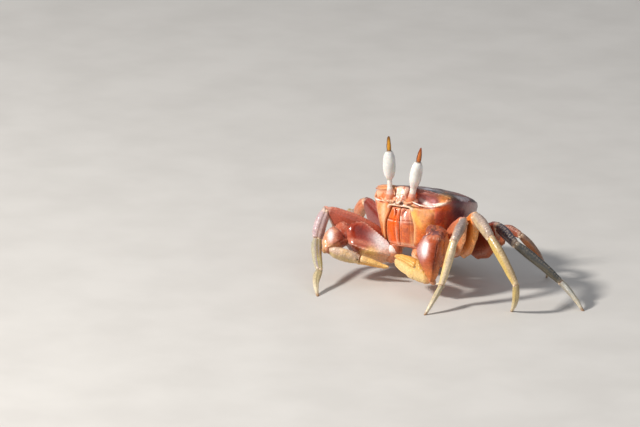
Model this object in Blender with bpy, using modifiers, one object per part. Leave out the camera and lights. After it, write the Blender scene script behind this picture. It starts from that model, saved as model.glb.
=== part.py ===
"""Ghost crab, life size: a still museum model standing on eight legs with both claws folded in front of the mouth.

Metres, +Z up. The crab faces -Y and its left side is +X. The origin is the middle of the
bounding box, on the floor. Lengths in the tables are in carapace widths (CW).
"""

import math

import bmesh
import bpy
import numpy as np
from mathutils import Matrix, Vector

# ---------------------------------------------------------------- driving dimensions
CW = 0.040            # carapace width in metres: the real size of the whole model
GAP = 0.0080          # clearance between neighbouring plates (CW), 0.32 mm
PITCH = 16.0          # body tipped up at the front (degrees)
ROLL = -4.0           # body leaning towards its right side
RIDE = 0.250          # underside of the body above the floor (CW)
FOOT = 0.013          # half width of each foot tip (CW)

# Body outline (CW): half width, front, rear, roof
HALF_W = 0.482
FRONT_Y = 0.475
REAR_Y = 0.410
ROOF_Z = 0.615

# Coxa of each walking leg in the body's own frame (x, y, z)
COXA = {1: (0.320, -0.110, 0.020), 2: (0.350, 0.050, 0.020),
        3: (0.340, 0.200, 0.050), 4: (0.290, 0.330, 0.100)}

# Lengths of merus, carpus, propodus and dactyl of each pair of legs (CW)
LENGTHS = {1: (0.765, 0.30, 0.45, 0.36), 2: (0.900, 0.34, 0.55, 0.36),
           3: (0.845, 0.32, 0.58, 0.38), 4: (0.530, 0.24, 0.38, 0.28)}

# Pose of each leg: (yaw, elevation) of merus, carpus and propodus, then (yaw, inward) of the
# dactyl, whose slope is the one that brings its tip to the floor.
# Yaw 0 points straight sideways, + turns towards the head.
POSE = {
    "L1": ((32, 37), (72, -25), (105, -71), (86, 0)),
    "L2": ((35, 38), (24, -23), (13, -44), (39, 1)),
    "L3": ((24, 30), (18, -19), (-30, -39), (8, 0)),
    "L4": ((1, 29), (10, -5), (-62, -52), (-112, 0)),
    "R1": ((48, 28), (91, -63), (133, -27), (127, 0)),
    "R2": ((-28, 13), (-30, -40), (-45, -16), (-45, 0)),
    "R3": ((-44, 17), (-46, -22), (-50, -20), (-50, 0)),
    "R4": ((-68, 26), (-70, -27), (-74, -31), (-74, 0)),
}

# Chelipeds: shoulder (body frame); bend of the arm, elbow, wrist and finger tips (floor frame), in CW
CLAWS = {
    "L": {"root": (0.190, -0.300, -0.050), "bend": (0.470, -0.485, 0.400), "elbow": (0.605, -0.520, 0.625),
          "wrist": (0.650, -0.690, 0.216), "tip": (0.143, -0.637, 0.312),
          "height": 0.240, "thick": 0.150, "tilt": 6.0, "bulk": 1.06},
    "R": {"root": (-0.100, -0.370, -0.080), "bend": (-0.210, -0.610, 0.345), "elbow": (-0.524, -0.636, 0.438),
          "wrist": (-0.500, -0.895, 0.345), "tip": (-0.019, -0.537, 0.177),
          "height": 0.215, "thick": 0.125, "tilt": 50.0, "bulk": 0.96},
}

# Eyes: foot (body frame); outward lean (degrees); heights of cornea and horn above the foot (CW)
EYE_FOOT = (0.145, -0.480, 0.545)
EYES = {"L": (13.0, 0.065, 0.355, 0.500), "R": (1.0, 0.105, 0.415, 0.555)}
EYE_R = 0.063

MATERIALS = {
    "carapace_shell": ((0.42, 0.13, 0.09), 0.34),
    "underside_shell": ((0.80, 0.55, 0.38), 0.40),
    "mouth_plates": ((0.70, 0.27, 0.16), 0.36),
    "leg_shell": ((0.62, 0.30, 0.17), 0.38),
    "foot_shell": ((0.66, 0.58, 0.38), 0.42),
    "claw_shell": ((0.55, 0.19, 0.10), 0.30),
    "finger_shell": ((0.80, 0.58, 0.28), 0.34),
    "eye_surface": ((0.78, 0.76, 0.74), 0.25),
    "eye_horn": ((0.62, 0.28, 0.05), 0.30),
}


# ---------------------------------------------------------------- vectors
def unit(v):
    v = np.asarray(v, float)
    return v / np.linalg.norm(v)


def to_world(p):
    """Body frame to floor frame: pitch about X, roll about Y, raise."""
    p = np.asarray(p, float)
    b, r = math.radians(PITCH), math.radians(ROLL)
    x, y, z = p[..., 0], p[..., 1], p[..., 2]
    y2 = y * math.cos(b) + z * math.sin(b)
    z2 = -y * math.sin(b) + z * math.cos(b)
    return np.stack([x * math.cos(r) + z2 * math.sin(r), y2,
                     -x * math.sin(r) + z2 * math.cos(r) + RIDE], -1)


def to_body(p):
    p = np.asarray(p, float)
    b, r = math.radians(PITCH), math.radians(ROLL)
    x, y, z = p[..., 0], p[..., 1], p[..., 2] - RIDE
    x1 = x * math.cos(r) - z * math.sin(r)
    z1 = x * math.sin(r) + z * math.cos(r)
    return np.stack([x1, y * math.cos(b) - z1 * math.sin(b), y * math.sin(b) + z1 * math.cos(b)], -1)


def heading(yaw, elevation, side):
    yaw, el = math.radians(yaw), math.radians(elevation)
    return np.array([side * math.cos(yaw) * math.cos(el), -math.sin(yaw) * math.cos(el), math.sin(el)])


# ---------------------------------------------------------------- the body as a field
def smooth_max(values, k):
    values = np.stack(values)
    top = values.max(0)
    return top + k * np.log(np.exp((values - top) / k).sum(0))


def step(a, b, x):
    t = np.clip((x - a) / (b - a), 0, 1)
    return t * t * (3 - 2 * t)


def roof(x, y):
    arch = ROOF_Z - 0.29 * x ** 2 - 0.55 * np.maximum(np.abs(x) - 0.36, 0) ** 2
    return arch - 0.72 * np.maximum(y - 0.04, 0) ** 2 - 0.26 * np.maximum(-y - 0.18, 0) ** 2


def wall(y, z):
    """Half width of the body at a height: widest just under the rim, drawn in towards the legs."""
    plan = HALF_W - 1.20 * np.maximum(-y - 0.18, 0) ** 2 - 0.80 * np.maximum(y + 0.06, 0) ** 2
    under = 0.185 * step(0.52, 0.02, z)
    return plan - under - 0.5 * np.maximum(z - 0.50, 0) ** 2


def face(x, z):
    """How far forward the front of the body reaches."""
    return FRONT_Y - 0.62 * x ** 2 - 0.50 * np.maximum(0.36 - z, 0) ** 2 - 0.8 * np.maximum(np.abs(x) - 0.22, 0) ** 2 * step(0.45, 0.1, z)


def rear(x, z):
    return REAR_Y - 0.55 * x ** 2 - 0.75 * np.maximum(0.34 - z, 0) ** 2


def sole(x, y):
    return 0.60 * np.maximum(np.abs(x) - 0.16, 0) ** 2 + 0.55 * np.maximum(y - 0.02, 0) ** 2


def orbit(p):
    """Distance-like field of one eye socket, a long trough from the front lobe to the outer corner."""
    x = np.abs(p[..., 0])
    t = np.clip((x - 0.095) / (0.425 - 0.095), 0, 1)
    cx = 0.095 + 0.330 * t
    cy = -(FRONT_Y - 0.62 * cx ** 2) - 0.012
    cz = 0.520 - 0.050 * np.sin(math.pi * t * 0.9) - 0.006 * t
    r = 0.056 + 0.024 * np.sin(math.pi * t)
    return np.sqrt((x - cx) ** 2 + (p[..., 1] - cy) ** 2 + (p[..., 2] - cz) ** 2) - r


def lobe(p):
    """The narrow front, bent down between the eyestalks."""
    x, y, z = p[..., 0], p[..., 1], p[..., 2]
    t = np.clip((0.556 - z) / 0.12, 0, 1)
    cy = -0.444 - 0.036 * t
    return np.sqrt((x * 0.72) ** 2 + (y - cy) ** 2 + (z - (0.556 - 0.12 * t)) ** 2) - (0.044 - 0.004 * t)


def mouth_half(z):
    """Half width of the mouth field: narrow under the eyes, wider lower down."""
    t = np.clip((0.40 - z) / 0.20, 0, 1)
    return 0.120 + 0.056 * t * t * (3 - 2 * t) - 0.08 * np.maximum(0.14 - z, 0)


def mouth(p):
    """Recess for the two outer mouth plates."""
    x, y, z = p[..., 0], p[..., 1], p[..., 2]
    across = np.abs(x) - (mouth_half(z) + 0.010)
    floor = -(-y - (face(x, z) - 0.066))
    return smooth_max([across, np.abs(z - 0.205) - 0.200, floor], 0.006)


def body_field(p, sockets=True):
    x, y, z = p[..., 0], p[..., 1], p[..., 2]
    f = smooth_max([z - roof(x, y), np.abs(x) - wall(y, z), -y - face(x, z), y - rear(x, z), sole(x, y) - z], 0.018)
    if sockets:
        f = smooth_max([f, -orbit(p)], 0.010)
        f = -smooth_max([-f, -lobe(p)], 0.010)
        f = smooth_max([f, -mouth(p)], 0.004)
    return f


def seam(p):
    """Height over the cut that parts the carapace from the sternum."""
    return p[..., 2] - (0.030 + 0.27 * (p[..., 1] + 0.36))


def carapace_field(p):
    return smooth_max([body_field(p), GAP / 2 - seam(p)], 0.004)


def sternum_field(p):
    return smooth_max([body_field(p, False), GAP / 2 + seam(p)], 0.004)


def surface_along(field, centre, directions, reach=1.2, coarse=160):
    """Where rays from a point inside first leave the field."""
    centre = np.asarray(centre, float)
    lo = np.zeros(len(directions))
    hi = np.full(len(directions), reach)
    found = np.zeros(len(directions), bool)
    for k in range(1, coarse + 1):
        r = np.full(len(directions), reach * k / coarse)
        out = field(centre + directions * r[:, None]) > 0
        new = out & ~found
        hi[new] = r[new]
        lo[new] = r[new] - reach / coarse
        found |= out
    for _ in range(22):
        mid = (lo + hi) / 2
        out = field(centre + directions * mid[:, None]) > 0
        hi = np.where(out, mid, hi)
        lo = np.where(out, lo, mid)
    return centre + directions * lo[:, None]


def ray_body(field, centre, axis, rings, around, squeeze=(1, 1, 1)):
    """A closed mesh: rings of rays about an axis, tightened where squeeze is small."""
    axis = unit(axis)
    side = unit(np.cross(axis, (0, 0, 1) if abs(axis[2]) < 0.9 else (0, 1, 0)))
    up = np.cross(side, axis)
    dirs = [axis]
    for a in rings:
        for k in range(around):
            b = 2 * math.pi * (k + 0.5) / around
            dirs.append(math.cos(a) * axis + math.sin(a) * (math.cos(b) * side + math.sin(b) * up))
    dirs.append(-axis)
    dirs = np.array(dirs) * np.array(squeeze)
    dirs /= np.linalg.norm(dirs, axis=1)[:, None]
    points = surface_along(field, centre, dirs)
    faces = [(0, 1 + k, 1 + (k + 1) % around) for k in range(around)]
    for r in range(len(rings) - 1):
        a, b = 1 + r * around, 1 + (r + 1) * around
        for k in range(around):
            n = (k + 1) % around
            faces.append((a + k, b + k, b + n, a + n))
    last = 1 + (len(rings) - 1) * around
    end = len(points) - 1
    faces += [(last + (k + 1) % around, last + k, end) for k in range(around)]
    return points, faces


# ---------------------------------------------------------------- lofts
def keyed(keys, t):
    """Smooth interpolation through (t, value) keys."""
    xs, ys = zip(*keys)
    t = np.asarray(t, float)
    i = np.clip(np.searchsorted(xs, t) - 1, 0, len(xs) - 2)
    xs, ys = np.array(xs), np.array(ys, float)
    u = np.clip((t - xs[i]) / (xs[i + 1] - xs[i]), 0, 1)
    u = u * u * (3 - 2 * u) * 0.6 + u * 0.4
    return ys[i] + (ys[i + 1] - ys[i]) * u


def plate_section(around, up, down, front, back, power=1.0):
    """One cross-section: up/down in the leg's plane, front/back across it."""
    pts = []
    for k in range(around):
        a = 2 * math.pi * k / around
        c, s = math.cos(a), math.sin(a)
        c2, s2 = math.copysign(abs(c) ** power, c), math.copysign(abs(s) ** power, s)
        pts.append((c2 * (up if c > 0 else down), s2 * (front if s > 0 else back)))
    return pts


def three_sided(around, up, down, ridge, back):
    """A rounded triangle: upper and lower corners, and a ridge that faces forward."""
    corners = [(up, -back), (0.0, ridge), (-down, -back)]
    pts = []
    for k in range(around):
        u = 3.0 * k / around
        i = int(u) % 3
        f = u - int(u)
        a, b = np.array(corners[i]), np.array(corners[(i + 1) % 3])
        p = a + (b - a) * f
        bow = 4 * f * (1 - f)
        mid = np.array((0.0, (ridge - 2 * back) / 3))
        p = p + (p - mid) * 0.16 * bow
        p = mid + (p - mid) * (1 - 0.10 * (1 - bow))
        pts.append(tuple(p))
    return pts


def loft(stations, sections, frames, start=None, end=None, reach=0.030, reach_end=None):
    """Rings along a path, cut clean by a start and an end plane.

    stations: centre of each ring; frames: (along, up, front) of each; start and end: (point, outward normal).
    A last ring grows to its plane by at most its reach, so that a sharp bend has no spike.
    """
    rings = []
    n = len(stations)
    for i, (c, sec, (d, up, front)) in enumerate(zip(stations, sections, frames)):
        ring = np.array([c + up * a + front * b for a, b in sec])
        for plane, order, most in ((start, i, reach), (end, n - 1 - i, reach if reach_end is None else reach_end)):
            if plane is None:
                continue
            point, normal = np.asarray(plane[0], float), unit(plane[1])
            slope = d @ normal
            over = (ring - point) @ normal + 0.0035 * order
            move = over / slope
            if order == 0:
                move = np.where(over > 0, move, np.sign(slope) * np.maximum(move * np.sign(slope), -most))
            else:
                move = np.where(over > 0, move, 0)
            ring = ring - move[:, None] * d
        rings.append(ring)
    around = len(sections[0])
    points = np.concatenate(rings + [rings[0].mean(0)[None], rings[-1].mean(0)[None]])
    first, last = n * around, n * around + 1
    faces = [(first, (k + 1) % around, k) for k in range(around)]
    for r in range(n - 1):
        a, b = r * around, (r + 1) * around
        for k in range(around):
            m = (k + 1) % around
            faces.append((a + k, b + k, b + m, a + m))
    faces += [(last, (n - 1) * around + k, (n - 1) * around + (k + 1) % around) for k in range(around)]
    return points, faces


# ---------------------------------------------------------------- legs
def leg_joints(name):
    side = 1 if name[0] == "L" else -1
    x, y, z = COXA[int(name[1])]
    joints = [to_world((side * x, y, z))]
    lengths = LENGTHS[int(name[1])]
    for length, (yaw, el) in zip(lengths[:3], POSE[name][:3]):
        joints.append(joints[-1] + length * heading(yaw, el, side))
    length = lengths[3]
    yaw, inward = POSE[name][3]
    el = -math.degrees(math.asin(min(joints[-1][2] / length, 0.999)))
    joints.append(joints[-1] + length * heading(yaw, -180 - el if inward else el, side))
    joints[-1][2] = 0.0
    return joints


def leg_plane(joints):
    """Normal of the leg's bending plane, on the side that faces the head."""
    n = np.cross(unit(joints[1] - joints[0]), unit(joints[3] - joints[2]))
    n = unit(n)
    return n if n[1] < 0 or abs(n[1]) < 0.2 and n[0] * joints[1][0] < 0 else -n


SIZE = {1: 1.0, 2: 1.06, 3: 1.0, 4: 0.80}
LEG_KEYS = {   # (t, up), (t, down), (t, thickness): half sizes in CW
    "merus": (((0, .045), (.12, .050), (.30, .085), (.60, .092), (.88, .074), (1, .050)),
              ((0, .045), (.12, .080), (.32, .190), (.58, .235), (.84, .190), (1, .070)),
              ((0, .040), (.12, .042), (.35, .054), (.70, .054), (1, .042))),
    "carpus": (((0, .048), (.30, .066), (.75, .068), (1, .050)),
               ((0, .050), (.30, .060), (.75, .062), (1, .046)),
               ((0, .044), (.40, .054), (1, .040))),
    "propodus": (((0, .048), (.25, .058), (.70, .052), (1, .036)),
                 ((0, .046), (.25, .056), (.70, .050), (1, .034)),
                 ((0, .038), (.30, .044), (.75, .038), (1, .028))),
    "dactyl": (((0, .036), (.20, .042), (.60, .030), (.90, .018), (1, .013)),
               ((0, .034), (.20, .038), (.60, .028), (.90, .017), (1, .013)),
               ((0, .026), (.30, .028), (.70, .021), (1, .013))),
}
PARTS = ("merus", "carpus", "propodus", "dactyl")


def joint_plane(a, b, c):
    """The plane that halves the bend at joint b, as (point, normal along the limb)."""
    return b, unit(unit(b - a) + unit(c - b))


def leg_segment(name, i, rings, around, stretch=1.0):
    """Points and faces of one leg piece; i counts from the merus."""
    j = leg_joints(name)
    n = leg_plane(j)
    a, b = j[i], j[i + 1]
    d = unit(b - a)
    if i == 0:          # the broad faces of the merus stand upright
        n = unit(np.cross(d, (0, 0, 1))) * (1 if np.cross(d, (0, 0, 1)) @ n > 0 else -1)
    front = unit(n - d * (n @ d))
    up = np.cross(front, d)
    if up[2] < 0 and i < 2 or (i >= 2 and up @ unit(j[1] - j[0] + np.array((0, 0, 0.3))) < 0):
        up = -up
    # one sense of turning for every leg, so that faces point out
    if np.cross(up, front) @ d < 0:
        front = -front
    scale = SIZE[int(name[1])]
    k_up, k_down, k_thick = LEG_KEYS[PARTS[i]]
    ts = [r / (rings - 1) for r in range(rings)]
    centres, sections, frames = [], [], []
    bow = (0.015, 0.012, 0.018, 0.030)[i]
    for t in ts:
        centres.append(a + (b - a) * t + up * bow * math.sin(math.pi * t))
        sections.append(plate_section(around, keyed(k_up, t) * scale, keyed(k_down, t) * scale,
                                      keyed(k_thick, t) * scale, keyed(k_thick, t) * scale, 0.92))
        frames.append((d, up, front))
    if i == 0:
        start = (a, -d)
    else:
        p, m = joint_plane(j[i - 1], a, b)
        start = (p + m * GAP / 2, -m)
    if i == 3:
        end = (np.array((0.0, 0.0, 0.0)), np.array((0.0, 0.0, -1.0)))
    else:
        p, m = joint_plane(a, b, j[i + 2])
        end = (p - m * GAP / 2, m)
    return centres, sections, frames, start, end, 0.030, 1.0 if i == 3 else 0.030


def clear_of_body(points, clearance):
    """Pushes points that lie in the body out to the clearance from its skin."""
    points = points.copy()
    for _ in range(8):
        q = to_body(points)
        f = body_field(q, False)
        inside = f < clearance
        if not inside.any():
            break
        e = 1e-4
        grad = np.stack([(body_field(q + e * np.eye(3)[k], False) - f) / e for k in range(3)], -1)
        grad /= np.linalg.norm(grad, axis=-1)[:, None] + 1e-9
        q = q + np.where(inside, clearance - f + 1e-4, 0)[:, None] * grad
        points = to_world(q)
    return points


# ---------------------------------------------------------------- Blender objects
for leftover in list(bpy.data.objects):
    bpy.data.objects.remove(leftover, do_unlink=True)
crab = bpy.data.collections.new("ghost_crab")
bpy.context.scene.collection.children.link(crab)
root = bpy.data.objects.new("crab_root", None)
crab.objects.link(root)

slots = {}
for slot, (colour, roughness) in MATERIALS.items():
    m = bpy.data.materials.new(slot)
    m.use_nodes = True
    bsdf = m.node_tree.nodes["Principled BSDF"]
    bsdf.inputs["Base Color"].default_value = (*colour, 1)
    bsdf.inputs["Roughness"].default_value = roughness
    bsdf.inputs["Metallic"].default_value = 0.0
    slots[slot] = m


def add(name, slot, mesh, matrix=None):
    obj = bpy.data.objects.new(name, mesh)
    own = slots[slot].copy()
    own.name = f"{name}_{slot}"
    mesh.materials.append(own)
    crab.objects.link(obj)
    obj.parent = root
    if matrix is not None:
        obj.matrix_local = matrix
    mesh.shade_smooth()
    mesh.set_sharp_from_angle(angle=math.radians(38))
    return obj


def solid(name, slot, points, faces, centre=None):
    """A mesh object whose own origin is at centre (CW), from points in CW."""
    points = np.asarray(points)
    centre = points.mean(0) if centre is None else np.asarray(centre)
    mesh = bpy.data.meshes.new(name)
    mesh.from_pydata([tuple(p) for p in (points - centre) * CW], [], [tuple(int(v) for v in f) for f in faces])
    bm = bmesh.new()
    bm.from_mesh(mesh)
    bmesh.ops.recalc_face_normals(bm, faces=bm.faces)
    bmesh.ops.triangulate(bm, faces=[f for f in bm.faces if len(f.verts) > 4])
    bm.to_mesh(mesh)
    bm.free()
    return add(name, slot, mesh, Matrix.Translation(Vector(centre * CW)))


def turned(name, slot, profile, foot, axis, steps=14, squash=1.0):
    """A turned piece: a profile of (radius, height) in CW, top first, swept round its own Z by a Screw."""
    mesh = bpy.data.meshes.new(name)
    mesh.from_pydata([(r * CW, 0, h * CW) for r, h in profile], [(k, k + 1) for k in range(len(profile) - 1)], [])
    rot = Vector((0, 0, 1)).rotation_difference(Vector(axis)).to_matrix().to_4x4()
    obj = add(name, slot, mesh, Matrix.Translation(Vector(np.asarray(foot) * CW)) @ rot)
    screw = obj.modifiers.new("Screw", "SCREW")
    screw.axis = "Z"
    screw.angle = 2 * math.pi
    screw.steps = steps
    screw.render_steps = steps
    screw.use_merge_vertices = True
    screw.merge_threshold = 1e-5
    screw.use_smooth_shade = True
    return obj


# body shell, cut from the sternum along one plane
rings = [math.radians(a) for a in (6, 13, 20, 27, 34, 41, 47, 53, 60, 68, 76, 85, 95, 106, 117, 128, 139, 150, 161, 171)]
pts, fcs = ray_body(carapace_field, (0, -0.02, 0.30), (0, -1, 0), rings, 42)
solid("carapace", "carapace_shell", to_world(pts), fcs)

rings = [math.radians(a) for a in (25, 50, 66, 76, 84, 90, 97, 106, 118, 135, 155)]
pts, fcs = ray_body(sternum_field, (0, -0.03, 0.075), (0, 0, -1), rings, 28, (1, 1, 0.45))
solid("thorax", "underside_shell", to_world(pts), fcs)


def underside_path(t):
    """Along the middle of the belly, from under the carapace's rear edge to just behind the mouth."""
    a = math.radians(-4 - 106 * t)
    direction = np.array([[0.0, math.cos(a), math.sin(a)]])
    return surface_along(lambda q: body_field(q, False), (0, -0.02, 0.26), direction)[0]


def abdomen(rings_n, around):
    stations, sections, frames = [], [], []
    for r in range(rings_n):
        t = r / (rings_n - 1)
        p, q = underside_path(max(t - 0.02, 0)), underside_path(min(t + 0.02, 1))
        d = unit(q - p)
        out = unit(np.cross((1, 0, 0), d))
        out = out if out @ (p - np.array((0, -0.02, 0.26))) > 0 else -out
        c = underside_path(t) + out * (GAP * 1.6 + 0.020)
        width = keyed(((0, .17), (.25, .155), (.45, .115), (.75, .085), (.93, .060), (1, .030)), t)
        sections.append(plate_section(around, width, width, 0.018, 0.018, 0.55))
        stations.append(c)
        frames.append((d, np.array((1.0, 0, 0)), np.cross(d, (1.0, 0, 0))))
    return loft(stations, sections, frames)


pts, fcs = abdomen(11, 12)
solid("abdomen", "underside_shell", to_world(pts), fcs)


def mouth_plate(side, rows, cols, proud=0.004):
    """One outer mouth plate (third maxilliped), a crowned plate in the recess of the face."""
    zs = np.linspace(0.022, 0.388, rows)
    points, faces = [], []
    for layer in (0, 1):
        for z in zs:
            outer = mouth_half(z) - 0.003 - 0.05 * max(abs(z - 0.205) - 0.13, 0)
            for c in range(cols):
                u = c / (cols - 1)
                x = side * (0.006 + (outer - 0.010) * u)
                crown = 0.016 * math.sin(math.pi * u) * math.sin(math.pi * z / 0.41)
                y = -(face(abs(x), z) + proud + crown) if layer == 0 else -(face(abs(x), z) - 0.038)
                points.append((x, y, z))
    def at(layer, r, c):
        return layer * rows * cols + r * cols + c
    for r in range(rows - 1):
        for c in range(cols - 1):
            faces.append((at(0, r, c), at(0, r, c + 1), at(0, r + 1, c + 1), at(0, r + 1, c)))
            faces.append((at(1, r, c), at(1, r + 1, c), at(1, r + 1, c + 1), at(1, r, c + 1)))
    edge = [(0, c) for c in range(cols)] + [(r, cols - 1) for r in range(1, rows)] + \
           [(rows - 1, c) for c in range(cols - 2, -1, -1)] + [(r, 0) for r in range(rows - 2, 0, -1)]
    for k, (r, c) in enumerate(edge):
        r2, c2 = edge[(k + 1) % len(edge)]
        faces.append((at(0, r, c), at(1, r, c), at(1, r2, c2), at(0, r2, c2)))
    return np.array(points), faces


for s, side in (("L", 1), ("R", -1)):
    pts, fcs = mouth_plate(side, 9, 5)
    solid(f"mxp3_{s}", "mouth_plates", to_world(pts), fcs)


# eyes: short stalk, tall cornea, horn
def eye_axis(s):
    side = 1 if s == "L" else -1
    lean = math.radians(EYES[s][0])
    return np.array((side * math.sin(lean), -0.02, math.cos(lean)))


for s, side in (("L", 1), ("R", -1)):
    lean, base, top, tip = EYES[s]
    foot = to_world((side * EYE_FOOT[0], EYE_FOOT[1], EYE_FOOT[2]))
    axis = unit(eye_axis(s))
    turned(f"eyestalk_{s}", "eye_surface",
           [(0, base - GAP), (.028, base - GAP), (.026, base * 0.6), (.030, base * 0.2), (.031, -.01), (.024, -.035), (0, -.035)], foot, axis)
    mid, half = (base + top) / 2, (top - base) / 2 * 1.02
    heights = [top - (top - base) * k / 9 for k in range(10)]
    cornea = [(0.0, top)] + [(EYE_R * math.sqrt(max(1 - ((h - mid) / half) ** 2, 0)) ** 0.85, h) for h in heights] + [(0.0, base)]
    turned(f"eye_{s}", "eye_surface", cornea, foot, axis, 16)
    turned(f"stylet_{s}", "eye_horn",
           [(0, tip), (.010, tip), (.015, tip - .03), (.019, tip - .08), (.022, top + .02), (.018, top + GAP), (0, top + GAP)], foot, axis, 12)

# antennae: short feelers under the eyestalks
for s, side in (("L", 1), ("R", -1)):
    curve = bpy.data.curves.new(f"antenna_{s}", "CURVE")
    curve.dimensions = "3D"
    spline = curve.splines.new("POLY")
    path = [to_world((side * (0.082 + 0.125 * t), -0.497 - 0.045 * math.sin(2.2 * t), 0.440 - 0.020 * t + 0.045 * t * t)) for t in np.linspace(0, 1, 6)]
    spline.points.add(len(path) - 1)
    for point, p in zip(spline.points, path):
        point.co = (*(np.asarray(p) * CW), 1)
    for k, point in enumerate(spline.points):
        point.radius = 1.0 - 0.25 * k / (len(path) - 1)
    curve.bevel_depth = 0.0090 * CW
    curve.bevel_resolution = 1
    curve.use_fill_caps = True
    curve.materials.append(slots["leg_shell"].copy())
    obj = bpy.data.objects.new(f"antenna_{s}", curve)
    crab.objects.link(obj)
    obj.parent = root

# walking legs
LEG_SLOT = ("leg_shell", "leg_shell", "leg_shell", "foot_shell")
DETAIL = {0: (8, 10), 1: (6, 8), 2: (6, 8), 3: (7, 8)}
for name in POSE:
    for i, part in enumerate(PARTS):
        pts, fcs = loft(*leg_segment(name, i, *DETAIL[i]))
        if i == 0:
            pts = clear_of_body(pts, GAP * 1.6)
        solid(f"{name}_{part}", LEG_SLOT[i], pts, fcs)


# chelipeds
def arm_joints(s):
    c = CLAWS[s]
    return [to_world(c["root"])] + [np.array(c[k]) for k in ("bend", "elbow", "wrist", "tip")]


def arm(s, rings_n, around):
    """Ischium and merus: three-sided with its ridge facing forward, rounder at the elbow."""
    a, bend, b, w, _ = arm_joints(s)
    k = CLAWS[s]["bulk"]
    stations, sections, frames = [], [], []
    for r in range(rings_n):
        t = r / (rings_n - 1)
        stations.append((1 - t) ** 2 * a + 2 * t * (1 - t) * bend + t * t * b)
        d = unit((1 - t) * (bend - a) + t * (b - bend))
        up = unit(np.array((0, 0, 1.0)) - d * d[2])
        front = unit(np.cross(up, d))
        if front[1] > 0:
            front = -front
        h = keyed(((0, .105), (.15, .130), (.45, .175), (.80, .190), (.94, .165), (1, .130)) if s == "L" else
                  ((0, .105), (.15, .130), (.45, .175), (.75, .186), (.92, .152), (1, .118)), t) * k
        rise = 1.0 if s == "L" else 1.0 + 0.26 * step(0.35, 0.80, t)
        g = keyed(((0, .070), (.20, .085), (.55, .130), (.85, .140), (1, .110)), t) * k
        angled = np.array(three_sided(around, h * rise, h * 1.12, g, g * 0.60))
        ring = np.array(plate_section(around, h * 0.92 * rise, h * 0.92, g * 0.92, g * 0.85))
        mix = step(0.70, 1.0, t)
        sections.append([tuple(v) for v in angled * (1 - mix) + ring * mix])
        frames.append((d, up, front))
    p, m = joint_plane(bend, b, w)
    return loft(stations, sections, frames, (a, -unit(bend - a)), (p - m * GAP / 2, m))


def wrist(s, rings_n, around):
    """Carpus: a rounded lump from the elbow to the wrist, fuller on the side of the mouth."""
    _, bend, b, w, tip = arm_joints(s)
    k = CLAWS[s]["bulk"]
    d = unit(w - b)
    front = unit(np.array((0.45, -1.0, 0.1)) - d * (np.array((0.45, -1.0, 0.1)) @ d))
    up = unit(np.cross(front, d))
    inner, outer, fore, aft = (1.42, 0.52, 0.98, 0.80) if s == "L" else (1.10, 0.72, 0.72, 0.92)
    stations, sections, frames = [], [], []
    for r in range(rings_n):
        t = r / (rings_n - 1)
        stations.append(b + (w - b) * t + front * 0.015 * math.sin(math.pi * t))
        g = keyed(((0, .100 if s == "L" else .112), (.18, .128 if s == "L" else .134), (.50, .134), (.82, .108), (1, .070)), t) * k
        f = keyed(((0, .085), (.25, .115), (.60, .118), (1, .068)), t) * k
        sections.append(plate_section(around, g * outer, g * inner, f * fore, f * aft, 0.95))
        frames.append((d, up, front))
    p, m = joint_plane(bend, b, w)
    p2, m2 = joint_plane(b, w, tip)
    return loft(stations, sections, frames, (p + m * GAP / 2, -m), (p2 - m2 * GAP / 2, m2))


def hand_axes(s):
    c = CLAWS[s]
    w, tip = np.array(c["wrist"]), np.array(c["tip"])
    a = unit(tip - w)
    up0 = unit(np.array((0, 0, 1.0)) - a * a[2])
    out0 = unit(np.cross(up0, a))
    if out0[1] > 0:
        out0 = -out0
    t = math.radians(c["tilt"])
    up = unit(up0 * math.cos(t) + out0 * math.sin(t))
    out = unit(out0 * math.cos(t) - up0 * math.sin(t))
    return w, a, up, out, np.linalg.norm(tip - w)


# Margins of palm and fingers along the hand: shares of its height, and how much it narrows.
# palm: share of the length before the finger's hinge. gape: height of the line where the fingers meet.
HAND = {
    "L": {"palm": 0.37, "gape": 0.14,
          "low": ((0, -.18), (.12, -.30), (.32, -.36), (.55, -.36), (.78, -.35), (.93, -.27), (1, -.18)),
          "top": ((0, .44), (.15, .50), (.40, .48), (.70, .41), (.92, .30), (1, .22)),
          "slim": ((0, 1), (1, 1))},
    "R": {"palm": 0.50, "gape": -0.06,
          "low": ((0, -.20), (.12, -.40), (.32, -.49), (.55, -.50), (.78, -.44), (.93, -.32), (1, -.24)),
          "top": ((0, .44), (.15, .50), (.40, .45), (.70, .28), (.92, .08), (1, .00)),
          "slim": ((0, 1), (.20, 1), (.36, .84), (.52, .60), (.66, .50), (1, .46))},
}
PALM_TOP = ((0, .22), (.20, .38), (.56, .49), (.88, .50), (1, .46))


def hand_margins(s, t):
    """Lower and upper margin of palm and fixed finger, as shares of the hand's height."""
    h = HAND[s]
    low = keyed(h["low"], t)
    if t <= h["palm"]:
        return low, keyed(PALM_TOP, t / h["palm"])
    return low, h["gape"] - 0.012 - 0.03 * (t - h["palm"]) / (1 - h["palm"])


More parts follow.
